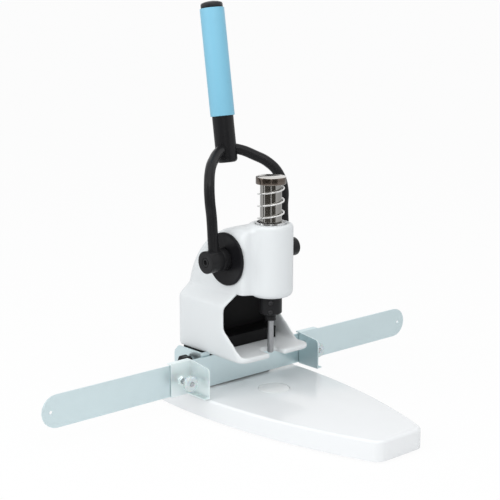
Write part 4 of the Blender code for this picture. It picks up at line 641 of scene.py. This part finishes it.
# Housing: column, shoulders, head and round nose in one moulding. Outlines are (along, up, corner radius)
housingSettings = {
    "wall": 0.003,
    "columnHalf": 0.044,
    "columnRear": 0.1215,
    "columnBottom": 0.0529,
    "columnTop": 0.1035,
    "columnCorner": 0.008,
    "lipFront": 0.024,
    "lipTop": 0.058,
    "lipCorner": 0.010,
    "headHalf": 0.033,
    "headFront": 0.0346,
    "headBottom": 0.111,
    "shoulderTop": 0.114,
    "headTop": 0.177,
    "backRadius": 0.0785,
    "backShare": 0.985,
    "sideRound": 0.012,
    "headCorner": 0.006,
    "noseRadius": 0.021,
    "noseTop": 0.180,
    "noseTopRound": 0.003,
    "noseFootRound": 0.005,
    "noseBlend": 0.008,
    "fillerFoot": 0.003,
    "fillerShort": 0.005,
    "fillerShare": 0.6,
    "fillerDeep": 0.004,
    "throatFront": 0.003,
    "throatRoof": 0.1138,
    "throatHalf": 0.066,
    "throatOutline": [(0.0269, 0.058, 0), (0.0357, 0.0668, 0.004), (0.0525, 0.0812, 0.004),
                      (0.0525, 0.0979, 0.004), (0.046, 0.1150, 0.0012), (0.0440, 0.1138, 0)],
    "cheekFront": 0.002,
    "cheekBack": 0.0165,
    "cheekSpan": (0.0362, 0.067),
    "cheekOutline": [(0.0269, 0.0583, 0), (0.0357, 0.0668, 0.004), (0.0525, 0.0812, 0.004),
                     (0.0525, 0.0979, 0.004), (0.0480, 0.1134, 0.003)],
    "levels": 30,
    "cornerSteps": 8,
    "grain": 0.00105,
    "softRounds": 10,
}

# Holes in the housing, cut past its walls
openingSettings = {
    "overrun": 0.002,
    "cupRadius": 0.0145,
    "chuckRadius": 0.0114,
    "boreTurn": 0.02,
    "shaftRadius": 0.0069,
    "shaftHalf": 0.036,
    "slotHalf": 0.009,
    "slotFront": 0.006,
    "slotRound": 0.0089,
    "slotSpan": (0.052, 0.060),
    "footLow": (-0.041, 0.0797, 0.052),
    "footHigh": (0.041, 0.1185, 0.060),
    "windowHalf": 0.030,
    "windowLow": 0.063,
    "windowHigh": 0.097,
    "windowCorner": 0.003,
    "windowSpan": (-0.1235, -0.1165),
}


def housingRings(settings, grow, bottom):
    # Height, half width, front, rear, front corner and rear corner of each ring, from the bottom up
    wall = settings["wall"]
    radius = settings["backRadius"] + grow
    centreZ = settings["headTop"] - settings["backRadius"]
    flush = math.sqrt(settings["backRadius"] ** 2 - (settings["shoulderTop"] - centreZ) ** 2)
    centreY = settings["columnRear"] - flush
    drop = grow * math.tan(math.pi / 8)
    start = math.asin((settings["shoulderTop"] + drop - centreZ) / radius)
    lowRing = (settings["columnHalf"] + grow, settings["lipFront"] - grow, settings["columnRear"] + grow,
               max(settings["lipCorner"] + grow, wall / 2), max(settings["columnCorner"] + grow, wall / 2))
    rings = [(bottom, *lowRing), (settings["columnTop"] + drop, *lowRing)]
    for level in range(settings["levels"] + 1):
        angle = start + (math.pi / 2 - start) * settings["backShare"] * level / settings["levels"]
        height = centreZ + radius * math.sin(angle)
        sideRound = settings["sideRound"] + grow
        into = max(height - (centreZ + radius - sideRound), 0)
        inwards = sideRound - math.sqrt(max(sideRound ** 2 - into ** 2, 0))
        front = settings["headFront"] - grow
        rear = centreY + radius * math.cos(angle)
        frontCorner = max(settings["headCorner"] + grow, wall / 2)
        rearCorner = max(min(sideRound, rear - front - frontCorner - wall / 10), wall / 10)
        rings.append((height, settings["headHalf"] + grow - inwards, front, rear, frontCorner, rearCorner))
    return rings


def ringLoop(work, ring, steps):
    # One level: four corners spun as arcs and joined by straight edges
    height, half, front, rear, frontCorner, rearCorner = ring
    known = set(work.edges)
    frontX, frontY = half - frontCorner, front + frontCorner
    rearX, rearY = half - rearCorner, rear - rearCorner
    corners = ((frontX, frontY, frontCorner, -90), (rearX, rearY, rearCorner, 0),
               (-rearX, rearY, rearCorner, 90), (-frontX, frontY, frontCorner, 180))
    ends = []
    for across, along, radius, quarter in corners:
        angle = math.radians(quarter)
        centre = Vector((across, along, height))
        start = centre + radius * Vector((math.cos(angle), math.sin(angle), 0))
        ends.append(arcEnds(work, start, centre, math.pi / 2, steps))
    for index, (_, last) in enumerate(ends):
        work.edges.new((last, ends[(index + 1) % len(ends)][0]))
    return [edge for edge in work.edges if edge not in known]


def housingBody(settings, grow, bottom):
    work = bmesh.new()
    loops = [ringLoop(work, ring, settings["cornerSteps"]) for ring in housingRings(settings, grow, bottom)]
    bmesh.ops.contextual_create(work, geom=loops[0])
    bmesh.ops.contextual_create(work, geom=loops[-1])
    for lower, upper in zip(loops, loops[1:]):
        bmesh.ops.bridge_loops(work, edges=lower + upper)
    bmesh.ops.recalc_face_normals(work, faces=work.faces)
    return work


def makeNose(settings):
    top, foot, radius = settings["noseTop"], settings["headBottom"], settings["noseRadius"]
    work = lathed([(0, top), (radius, top), (radius, foot), (0, foot)], steps=96, edge=0)
    for height, width in ((top, settings["noseTopRound"]), (foot, settings["noseFootRound"])):
        bevelled(work, rimAt(work, height), width, 8)
    return moved(work, drillPlace)


def noseFiller(settings, side):
    # The hollow corner between the head's front and the round nose, with a concave arc
    blend, nose, front = settings["noseBlend"], settings["noseRadius"], settings["headFront"]
    ahead = front - blend - drillY
    across = math.sqrt((nose + blend) ** 2 - ahead ** 2)
    centre = Vector((side * across, front - blend, settings["headBottom"] + settings["fillerFoot"]))
    onNose = Vector((0, drillY, centre.z)).lerp(centre, nose / (nose + blend))
    turn = (centre.to_2d() - onNose.to_2d()).angle_signed(Vector((0, -1)))
    work = bmesh.new()
    first, last = arcEnds(work, centre + Vector((0, blend, 0)), centre, turn, 10)
    insideX, deepY = side * nose * settings["fillerShare"], front + settings["fillerDeep"]
    deep = [work.verts.new((across, along, centre.z))
            for across, along in ((insideX, drillY), (insideX, deepY), (first.co.x, deepY))]
    for pair in ((last, deep[0]), (deep[0], deep[1]), (deep[1], deep[2]), (deep[2], first)):
        work.edges.new(pair)
    bmesh.ops.contextual_create(work, geom=work.edges[:])
    return raised(work, settings["headTop"] - settings["headBottom"] - settings["fillerShort"])


def makeThroat(settings):
    # The opening between lip and head, through both cheeks
    front, half = settings["throatFront"], settings["throatHalf"]
    corners = [(front, settings["lipTop"], 0), *settings["throatOutline"], (front, settings["throatRoof"], 0)]
    return moved(platePrism(corners, -half, half), sideUp)


def makeCheekCut(settings):
    # The right cheek stands further back than the left one
    front, back = settings["cheekFront"], settings["cheekBack"]
    outline = [(along + back, up, radius) for along, up, radius in settings["cheekOutline"]]
    corners = [(front, outline[0][1], 0), *outline, (front, outline[-1][1], 0)]
    return moved(platePrism(corners, *settings["cheekSpan"]), sideUp)


def makeBore(settings, holes):
    # Room for the quill's bushes, with a hole for the cup above and for the chuck below
    top, foot, wall = settings["noseTop"], settings["headBottom"], settings["wall"]
    cup, chuck, overrun = holes["cupRadius"], holes["chuckRadius"], holes["overrun"]
    inner = settings["noseRadius"] - wall
    work = lathed([(0, top + overrun), (cup, top + overrun), (cup, top - wall), (inner, top - wall),
                   (inner, foot + wall), (chuck, foot + wall), (chuck, foot - overrun), (0, foot - overrun)],
                  steps=80, edge=0)
    return moved(work, drillPlace @ Matrix.Rotation(holes["boreTurn"], 4, "Z"))


def makeShaftHole(holes):
    radius, half = holes["shaftRadius"], holes["shaftHalf"]
    work = lathed([(0, half), (radius, half), (radius, -half), (0, -half)], steps=40, edge=0)
    return moved(work, Matrix.Translation(pivot) @ Matrix.Rotation(math.pi / 2, 4, "Y"))


def makeLipSlot(holes):
    # The drill's slot, open to the front of the lip and round behind the drill
    half, front, corner = holes["slotHalf"], holes["slotFront"], holes["slotRound"]
    end = drillY + half
    corners = ((-half, front, 0), (half, front, 0), (half, end, corner), (-half, end, corner))
    return platePrism(corners, *holes["slotSpan"])


def makeWindow(holes):
    half, corner = holes["windowHalf"], holes["windowCorner"]
    low, high = holes["windowLow"], holes["windowHigh"]
    corners = ((-half, low, corner), (half, low, corner), (half, high, corner), (-half, high, corner))
    return moved(platePrism(corners, *holes["windowSpan"]), frontUp)


def melted(work, grain, rounds):
    # Overlapping skins become one, and its edges melt as the moulding's do
    holder = looseMesh("meltTarget", work)
    skin = holder.modifiers.new("melt", "REMESH")
    skin.mode = "VOXEL"
    skin.voxel_size = grain
    result = settledWork(holder)
    bpy.data.objects.remove(holder, do_unlink=True)
    for _ in range(rounds):
        bmesh.ops.smooth_vert(result, verts=result.verts, factor=0.5, use_axis_x=True, use_axis_y=True,
                              use_axis_z=True)
    bmesh.ops.recalc_face_normals(result, faces=result.faces)
    return result


def makeHousing(settings, holes):
    outside = housingBody(settings, 0, settings["columnBottom"])
    inside = housingBody(settings, -settings["wall"], settings["lipTop"])
    steps = (
        ("DIFFERENCE", makeThroat(settings)),
        ("DIFFERENCE", makeCheekCut(settings)),
        ("UNION", makeNose(settings)),
        ("UNION", noseFiller(settings, -1)),
        ("UNION", noseFiller(settings, 1)),
        ("DIFFERENCE", inside),
        ("DIFFERENCE", makeBore(settings, holes)),
        ("DIFFERENCE", makeShaftHole(holes)),
        ("DIFFERENCE", makeLipSlot(holes)),
        ("DIFFERENCE", blockWork(holes["footLow"], holes["footHigh"])),
        ("DIFFERENCE", makeWindow(holes)),
    )
    return melted(carved(outside, steps), settings["grain"], settings["softRounds"])


addPiece("housingShell", makeHousing(housingSettings, openingSettings), housingShell, "body", ("housing",),
         sharp=75)
refined("rear_cover", housingShell, "body", "cover", 3)
refined("lip_screw_left", boltSteel, "body", "fine")
refined("lip_screw_right", boltSteel, "body", "fine")

# Frame casting, with its toe cut shorter at the right
frameSettings = {
    "toeLow": (0.0312, 0.055, 0.0568),
    "toeHigh": (0.050, 0.0795, 0.0712),
    "edge": 0.0006,
}
toeCut = blockWork(frameSettings["toeLow"], frameSettings["toeHigh"])
framePiece = addPiece("frameCasting", carved(merged("frame"), (("DIFFERENCE", toeCut),)), castBlack, "body",
                      ("frame",))
softEdges(framePiece, frameSettings["edge"], 2)
print("housing ready")

# Quill with its spring cup
cupSettings = {
    "outer": 0.0142,
    "inner": 0.0132,
    "hole": 0.0105,
    "rim": 0.1812,
    "floor": 0.1695,
    "foot": 0.1683,
    "edge": 0.0003,
}


def makeCup(settings):
    outer, inner, hole = settings["outer"], settings["inner"], settings["hole"]
    rim, floorZ, foot = settings["rim"], settings["floor"], settings["foot"]
    work = lathed([(outer, rim), (outer, foot), (hole, foot), (hole, floorZ), (inner, floorZ), (inner, rim)],
                  steps=96, edge=settings["edge"], closed=True)
    return moved(work, drillPlace)


refined("quill", chromeColumn, "quill", "fine")
addPiece("springCup", makeCup(cupSettings), turnedSteel, "body", ("spring_cup",))

# Cap of the quill: nickel on top, and on its side faces a dark brown copy that is partly the knurled band's own
# tone and partly painted shade
capSettings = {
    "radius": 0.0141,
    "low": 0.2166,
    "height": 0.0069,
    "crownInner": 0.0112,
    "crownOuter": 0.0116,
    "crownRise": 0.0002,
    "hole": 0.0104,
    "holeDepth": 0.0043,
    "edge": 0.0005,
    "sideLimit": 0.3,
}


def makeCap(settings):
    low, high, radius = settings["low"], settings["low"] + settings["height"], settings["radius"]
    ledge, hole, roof = high - settings["crownRise"], settings["hole"], low + settings["holeDepth"]
    profile = [(0, high), (settings["crownInner"], high), (settings["crownOuter"], ledge), (radius, ledge),
               (radius, low), (hole, low), (hole, roof), (0, roof)]
    return moved(lathed(profile, steps=120, edge=settings["edge"], segments=3), drillPlace)


quillCap = addPiece("quillCap", makeCap(capSettings), capNickel, "quill", ("quill_cap",))
# Faces that look sideways take the darker copy, which paints shade on the cap's side
quillCap.data.materials.append(capSideToneAndShade)
for face in quillCap.data.polygons:
    if abs(face.normal.z) < capSettings["sideLimit"]:
        face.material_index = 1

# Spring round the quill, between cup and cap
springSettings = {
    "outer": 0.0128,
    "wire": 0.0016,
    "pitch": 0.0113,
    "start": 90,
    "low": 0.1698,
    "capGap": 0.0003,
    "turnSteps": 28,
}


def makeSpring(settings):
    radius = settings["outer"] - settings["wire"] / 2
    low = settings["low"] + settings["wire"]
    high = capSettings["low"] - settings["capGap"] - settings["wire"]
    turns = (high - low) / settings["pitch"]
    count = math.ceil(turns * settings["turnSteps"])
    points = []
    for step in range(count + 1):
        angle = math.radians(settings["start"]) + 2 * math.pi * turns * step / count
        points.append((radius * math.cos(angle), drillY + radius * math.sin(angle),
                       low + (high - low) * step / count))
    return sweptBar("springPath", points, settings["wire"] / 2, smoothPath=False, sides=4)


springPiece = addPiece("quillSpring", makeSpring(springSettings), springWire, "body", ("quill_spring",))
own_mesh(springPiece)
print("quill, cap and spring ready")

# Chuck with its set screws, and the hollow drill with its collar
refined("chuck", satinBlack, "spindle", "chuck", 3)
refined("set_screw_lower", screwBlack, "spindle", "tiny")
refined("set_screw_upper", screwBlack, "spindle", "tiny")
drillSettings = {
    "radius": 0.003,
    "shankRadius": 0.004,
    "bore": 0.0021,
    "top": 0.099,
    "shankLow": 0.0932,
    "bladeHigh": 0.0930,
    "bladeLow": 0.0564,
    "tipRadius": 0.0023,
    "tip": 0.0552,
    "edge": 0.0002,
    "collarRadius": 0.0054,
    "collarLow": 0.0870,
    "collarEdge": 0.0004,
}


def makeDrill(settings):
    # Hollow all through, with its cutting edge bevelled from outside
    radius, shank, bore, tip = (settings[key] for key in ("radius", "shankRadius", "bore", "tip"))
    work = lathed([(shank, settings["top"]), (shank, settings["shankLow"]), (radius, settings["bladeHigh"]),
                   (radius, settings["bladeLow"]), (settings["tipRadius"], tip), (bore, tip),
                   (bore, settings["top"])], steps=64, edge=settings["edge"], closed=True)
    return moved(work, drillPlace)


def makeCollar(settings):
    outer, inner, high, low = (settings[key] for key in ("collarRadius", "radius", "shankLow", "collarLow"))
    work = lathed([(inner, high), (outer, high), (outer, low), (inner, low)], steps=64,
                  edge=settings["collarEdge"], closed=True)
    return moved(work, drillPlace)


addPiece("hollowDrill", makeDrill(drillSettings), drillSteel, "spindle", ("hollow_drill",))
addPiece("drillCollar", makeCollar(drillSettings), satinBlack, "spindle", ("hollow_drill",))
print("chuck and drill ready")

# Lever: bent fork, side discs and hubs, whose two sides differ
leverSettings = {
    "forkRadius": 0.005,
    "forkForward": 0.0017,
    "forkRoots": (0.0065, 0.013),
    "forkRise": 0.101,
    "gripBack": 0.0247,
    "middleShare": 0.957,
    "riseShares": (0.396, 0.564, 0.715, 0.831, 0.909, 0.973),
    "backShares": (-0.141, -0.205, -0.124, 0.131, 0.446, 0.728),
    "acrossShares": (1.0, 1.027, 0.964, 0.80, 0.567, 0.301),
    "discInner": 0.0333,
    "discHole": 0.0065,
    "discSunk": 0.0002,
    "discRim": 0.0026,
    "discRimCrest": 0.0022,
    "discRound": 0.0007,
    "discDrop": 0.0005,
    "discEdge": 0.0001,
    "hubGap": 0.0003,
    "hubBore": 0.0063,
    "hubWeb": 0.005,
    "hubScrewHole": 0.0028,
    "hubSeat": 0.0033,
    "hubSeatRadius": 0.0045,
    "hubGroove": 0.0068,
    "hubGrooveHalf": 0.0003,
    "hubGrooveDepth": 0.0005,
    "hubEdge": 0.0007,
    "sides": {
        "left": {"side": -1, "forkX": 0.0485, "hubRadius": 0.0105, "hubEnd": 0.0583, "disc": 0.025,
                 "discOuter": 0.0356},
        "right": {"side": 1, "forkX": 0.0405, "hubRadius": 0.009, "hubEnd": 0.053, "disc": 0.018,
                  "discOuter": 0.0343},
    },
}


def makeFork(settings):
    shares = list(zip(settings["acrossShares"], settings["backShares"], settings["riseShares"]))

    def arm(reach):
        roots = [(reach, -settings["forkForward"], root) for root in settings["forkRoots"]]
        return roots + [(reach * across, settings["gripBack"] * back, settings["forkRise"] * rise)
                        for across, back, rise in shares]

    middle = (0, settings["gripBack"] * settings["middleShare"], settings["forkRise"])
    path = arm(-settings["sides"]["left"]["forkX"]) + [middle]
    path += list(reversed(arm(settings["sides"]["right"]["forkX"])))
    return moved(sweptBar("forkPath", path, settings["forkRadius"]), leverPlace)


def sideTurn(sizes):
    return leverPlace @ Matrix.Rotation(sizes["side"] * math.pi / 2, 4, "Y")


def makeDisc(settings, sizes):
    # Flat disc with a low band along its rim
    outer, radius = sizes["discOuter"], sizes["disc"]
    inner, hole, sunk = settings["discInner"], settings["discHole"], outer - settings["discSunk"]
    profile = [(hole, sunk), (radius - settings["discRim"], sunk), (radius - settings["discRimCrest"], outer),
               (radius - settings["discRound"], outer), (radius, outer - settings["discDrop"]),
               (radius, inner), (hole, inner)]
    return moved(lathed(profile, steps=128, edge=settings["discEdge"], closed=True), sideTurn(sizes))


def makeHub(settings, sizes):
    # Drum with a fine groove, a bore for the shaft's end and a sunk seat for its screw
    end, radius, start = sizes["hubEnd"], sizes["hubRadius"], sizes["discOuter"] + settings["hubGap"]
    web, seat, seatRadius = end - settings["hubWeb"], end - settings["hubSeat"], settings["hubSeatRadius"]
    groove, half = start + settings["hubGroove"], settings["hubGrooveHalf"]
    bore, screwHole = settings["hubBore"], settings["hubScrewHole"]
    profile = [(seatRadius, end), (radius, end), (radius, groove + half),
               (radius - settings["hubGrooveDepth"], groove), (radius, groove - half), (radius, start),
               (bore, start), (bore, web), (screwHole, web), (screwHole, seat), (seatRadius, seat)]
    work = lathed(profile, steps=80, edge=settings["hubEdge"], segments=3, closed=True)
    return moved(work, sideTurn(sizes))


addPiece("forkBar", makeFork(leverSettings), satinBlack, "lever", ("fork",))
for side, sideSizes in leverSettings["sides"].items():
    addPiece(f"sideDisc_{side}", makeDisc(leverSettings, sideSizes), discBlack, "lever",
             (f"side_disc_{side}",))
    addPiece(f"hub_{side}_fine", makeHub(leverSettings, sideSizes), satinBlack, "lever", (f"hub_{side}",))
    refined(f"hub_screw_{side}", satinBlack, "lever", "plain", 3)

# Grip: tube, blue sleeve and end cap
gripSettings = {
    "tubeRadius": 0.0102,
    "tubeWall": 0.002,
    "tubeRound": 0.0036,
    "low": 0.0875,
    "high": 0.2332,
    "sleeveOuter": 0.0116,
    "sleeveInner": 0.0105,
    "sleeveLow": 0.1318,
    "edge": 0.0006,
    "capGap": 0.0003,
    "capRadius": 0.0105,
    "capSide": 0.0030,
    "capRound": 0.0018,
    "capTopRadius": 0.0100,
    "capFall": 0.0004,
    "capDome": 0.0015,
    "capDomeRadii": (0, 0.0035, 0.0070),
    "capDomeShares": (1, 0.86, 0.45),
    "plugRadius": 0.0079,
    "plugDepth": 0.010,
}
gripPlace = leverPlace @ Matrix.Translation((0, leverSettings["gripBack"], 0))


def makeTube(settings):
    # Tube with a closed and rounded lower end
    radius, wall, low, high = (settings[key] for key in ("tubeRadius", "tubeWall", "low", "high"))
    work = lathed([(radius - wall, high), (radius, high), (radius, low), (0, low), (0, low + wall),
                   (radius - wall, low + wall)], steps=80, edge=0, closed=True)
    bevelled(work, rimAt(work, low), settings["tubeRound"], 8)
    return moved(work, gripPlace)


def makeSleeve(settings):
    outer, inner, low, high = (settings[key] for key in ("sleeveOuter", "sleeveInner", "sleeveLow", "high"))
    work = lathed([(inner, high), (outer, high), (outer, low), (inner, low)], steps=96, edge=settings["edge"],
                  segments=4, closed=True)
    return moved(work, gripPlace)


def makeEndCap(settings):
    # Low round cap with a softened shoulder and a shallow crown, on a plug that sits in the tube
    radius, plug = settings["capRadius"], settings["plugRadius"]
    low = settings["high"] + settings["capGap"]
    shoulder = low + settings["capSide"]
    top = shoulder + settings["capRound"]
    profile = [(across, top + settings["capDome"] * share)
               for across, share in zip(settings["capDomeRadii"], settings["capDomeShares"])]
    profile += [(settings["capTopRadius"], top - settings["capFall"]), (radius, shoulder), (radius, low),
                (plug, low), (plug, low - settings["plugDepth"]), (0, low - settings["plugDepth"])]
    return moved(lathed(profile, steps=80, edge=settings["edge"], segments=4), gripPlace)


addPiece("gripTube", makeTube(gripSettings), satinBlack, "lever", ("grip_tube",))
addPiece("gripSleeve", makeSleeve(gripSettings), gripBlue, "lever", ("grip_sleeve",))
addPiece("endCap", makeEndCap(gripSettings), capSpeckle, "lever", ("end_cap",), sharp=60)
print("lever ready")

# Ruler, its carriage, knob and position stops, with the left arm's top at the photograph's height
carriageSettings = {
    "raisedAbove": 0.0522,
    "raise": 0.0024,
}
refined("ruler", zincSheet, "fence")
armPiece = refined("carriage_arm_left", zincSheet, "fence")
for point in armPiece.data.vertices:
    if point.co.z > carriageSettings["raisedAbove"]:
        point.co.z += carriageSettings["raise"]
refined("carriage_arm_right", zincSheet, "fence")
refined("ruler_knob", discBlack, "knob")
refined("knob_screw", boltSteel, "knob", "fine")
refined("knob_washer", boltSteel, "knob", "fine")
refined("guide_screw", boltSteel, "body")
# The left stop's plate gets the paler zinc copy, a painted glare; the right stop keeps the plain zinc
refined("stop_left", zincPaintedGlare, "stop_left")
refined("stop_right", zincSheet, "stop_right")
for side in ("left", "right"):
    refined(f"stop_screw_{side}", boltSteel, f"thumb_{side}", "fine")
    refined(f"stop_thumb_{side}", thumbPlastic, f"thumb_{side}", "thumb")
print("ruler and stops ready")

# Floor: nearly white where the camera sees it, with the object's soft shadow
floorSettings = {
    "radius": 30,
    "colour": (0.86, 0.86, 0.86, 1),
    "shift": 0.01,
    "toneScale": 3.0,
    "roughness": 0.8,
    "whiteShare": 0.94,
}


def makeFloorPaint(settings):
    paint = bpy.data.materials.new("studioFloor")
    paint.use_nodes = True
    nodes, links = paint.node_tree.nodes, paint.node_tree.links
    shader = nodes["Principled BSDF"]
    tone = placeGroup(paint, toneDrift, {"Colour": settings["colour"], "Shift": settings["shift"],
                                         "Scale": settings["toneScale"]})
    links.new(tone.outputs["Colour"], shader.inputs["Base Color"])
    shader.inputs["Roughness"].default_value = settings["roughness"]
    glow = nodes.new("ShaderNodeEmission")
    glow.inputs["Color"].default_value = (1, 1, 1, 1)
    share = nodes.new("ShaderNodeMath")
    share.operation = "MULTIPLY"
    share.inputs[1].default_value = settings["whiteShare"]
    links.new(seenBy(nodes, links, ("Is Camera Ray",)), share.inputs[0])
    output = [node for node in nodes if node.type == "OUTPUT_MATERIAL"][0]
    mixShaders(nodes, links, share.outputs[0], shader, glow, output)
    return paint


floorWork = bmesh.new()
bmesh.ops.create_circle(floorWork, cap_ends=True, segments=96, radius=floorSettings["radius"])
floor = looseMesh("studioFloor", floorWork)
floor.data.materials.append(makeFloorPaint(floorSettings))
print("floor ready")

# Dark cloths beside the camera, which only bright metal shows as stripes
clothSettings = {
    "distance": 0.62,
    "low": -0.02,
    "high": 0.75,
    "spans": ((-112, -46), (-38, 9)),
}
clothBlack = grained("clothBlack", (0.12, 0.112, 0.10), 300.0, 0.8, 0.95, tone=(0.2, 6), bump=0.1,
                     sockets={"Specular IOR Level": 0.05})


def makeCloth(settings, first, last):
    # An upright strip, bent round the object from the first angle to the last
    work = bmesh.new()
    angle = math.radians(first)
    across, along = settings["distance"] * math.sin(angle), -settings["distance"] * math.cos(angle)
    low, high = [work.verts.new((across, along, settings[key])) for key in ("low", "high")]
    work.edges.new((low, high))
    bmesh.ops.spin(work, geom=work.verts[:] + work.edges[:], cent=(0, 0, 0), axis=(0, 0, 1),
                   angle=math.radians(last - first), steps=12)
    return work


for index, span in enumerate(clothSettings["spans"]):
    cloth = looseMesh(f"darkCloth_{index}", makeCloth(clothSettings, *span))
    cloth.data.materials.append(clothBlack)
    cloth.visible_camera = False
    cloth.visible_diffuse = False
    cloth.visible_shadow = False
    cloth.visible_transmission = False
print("cloths ready")
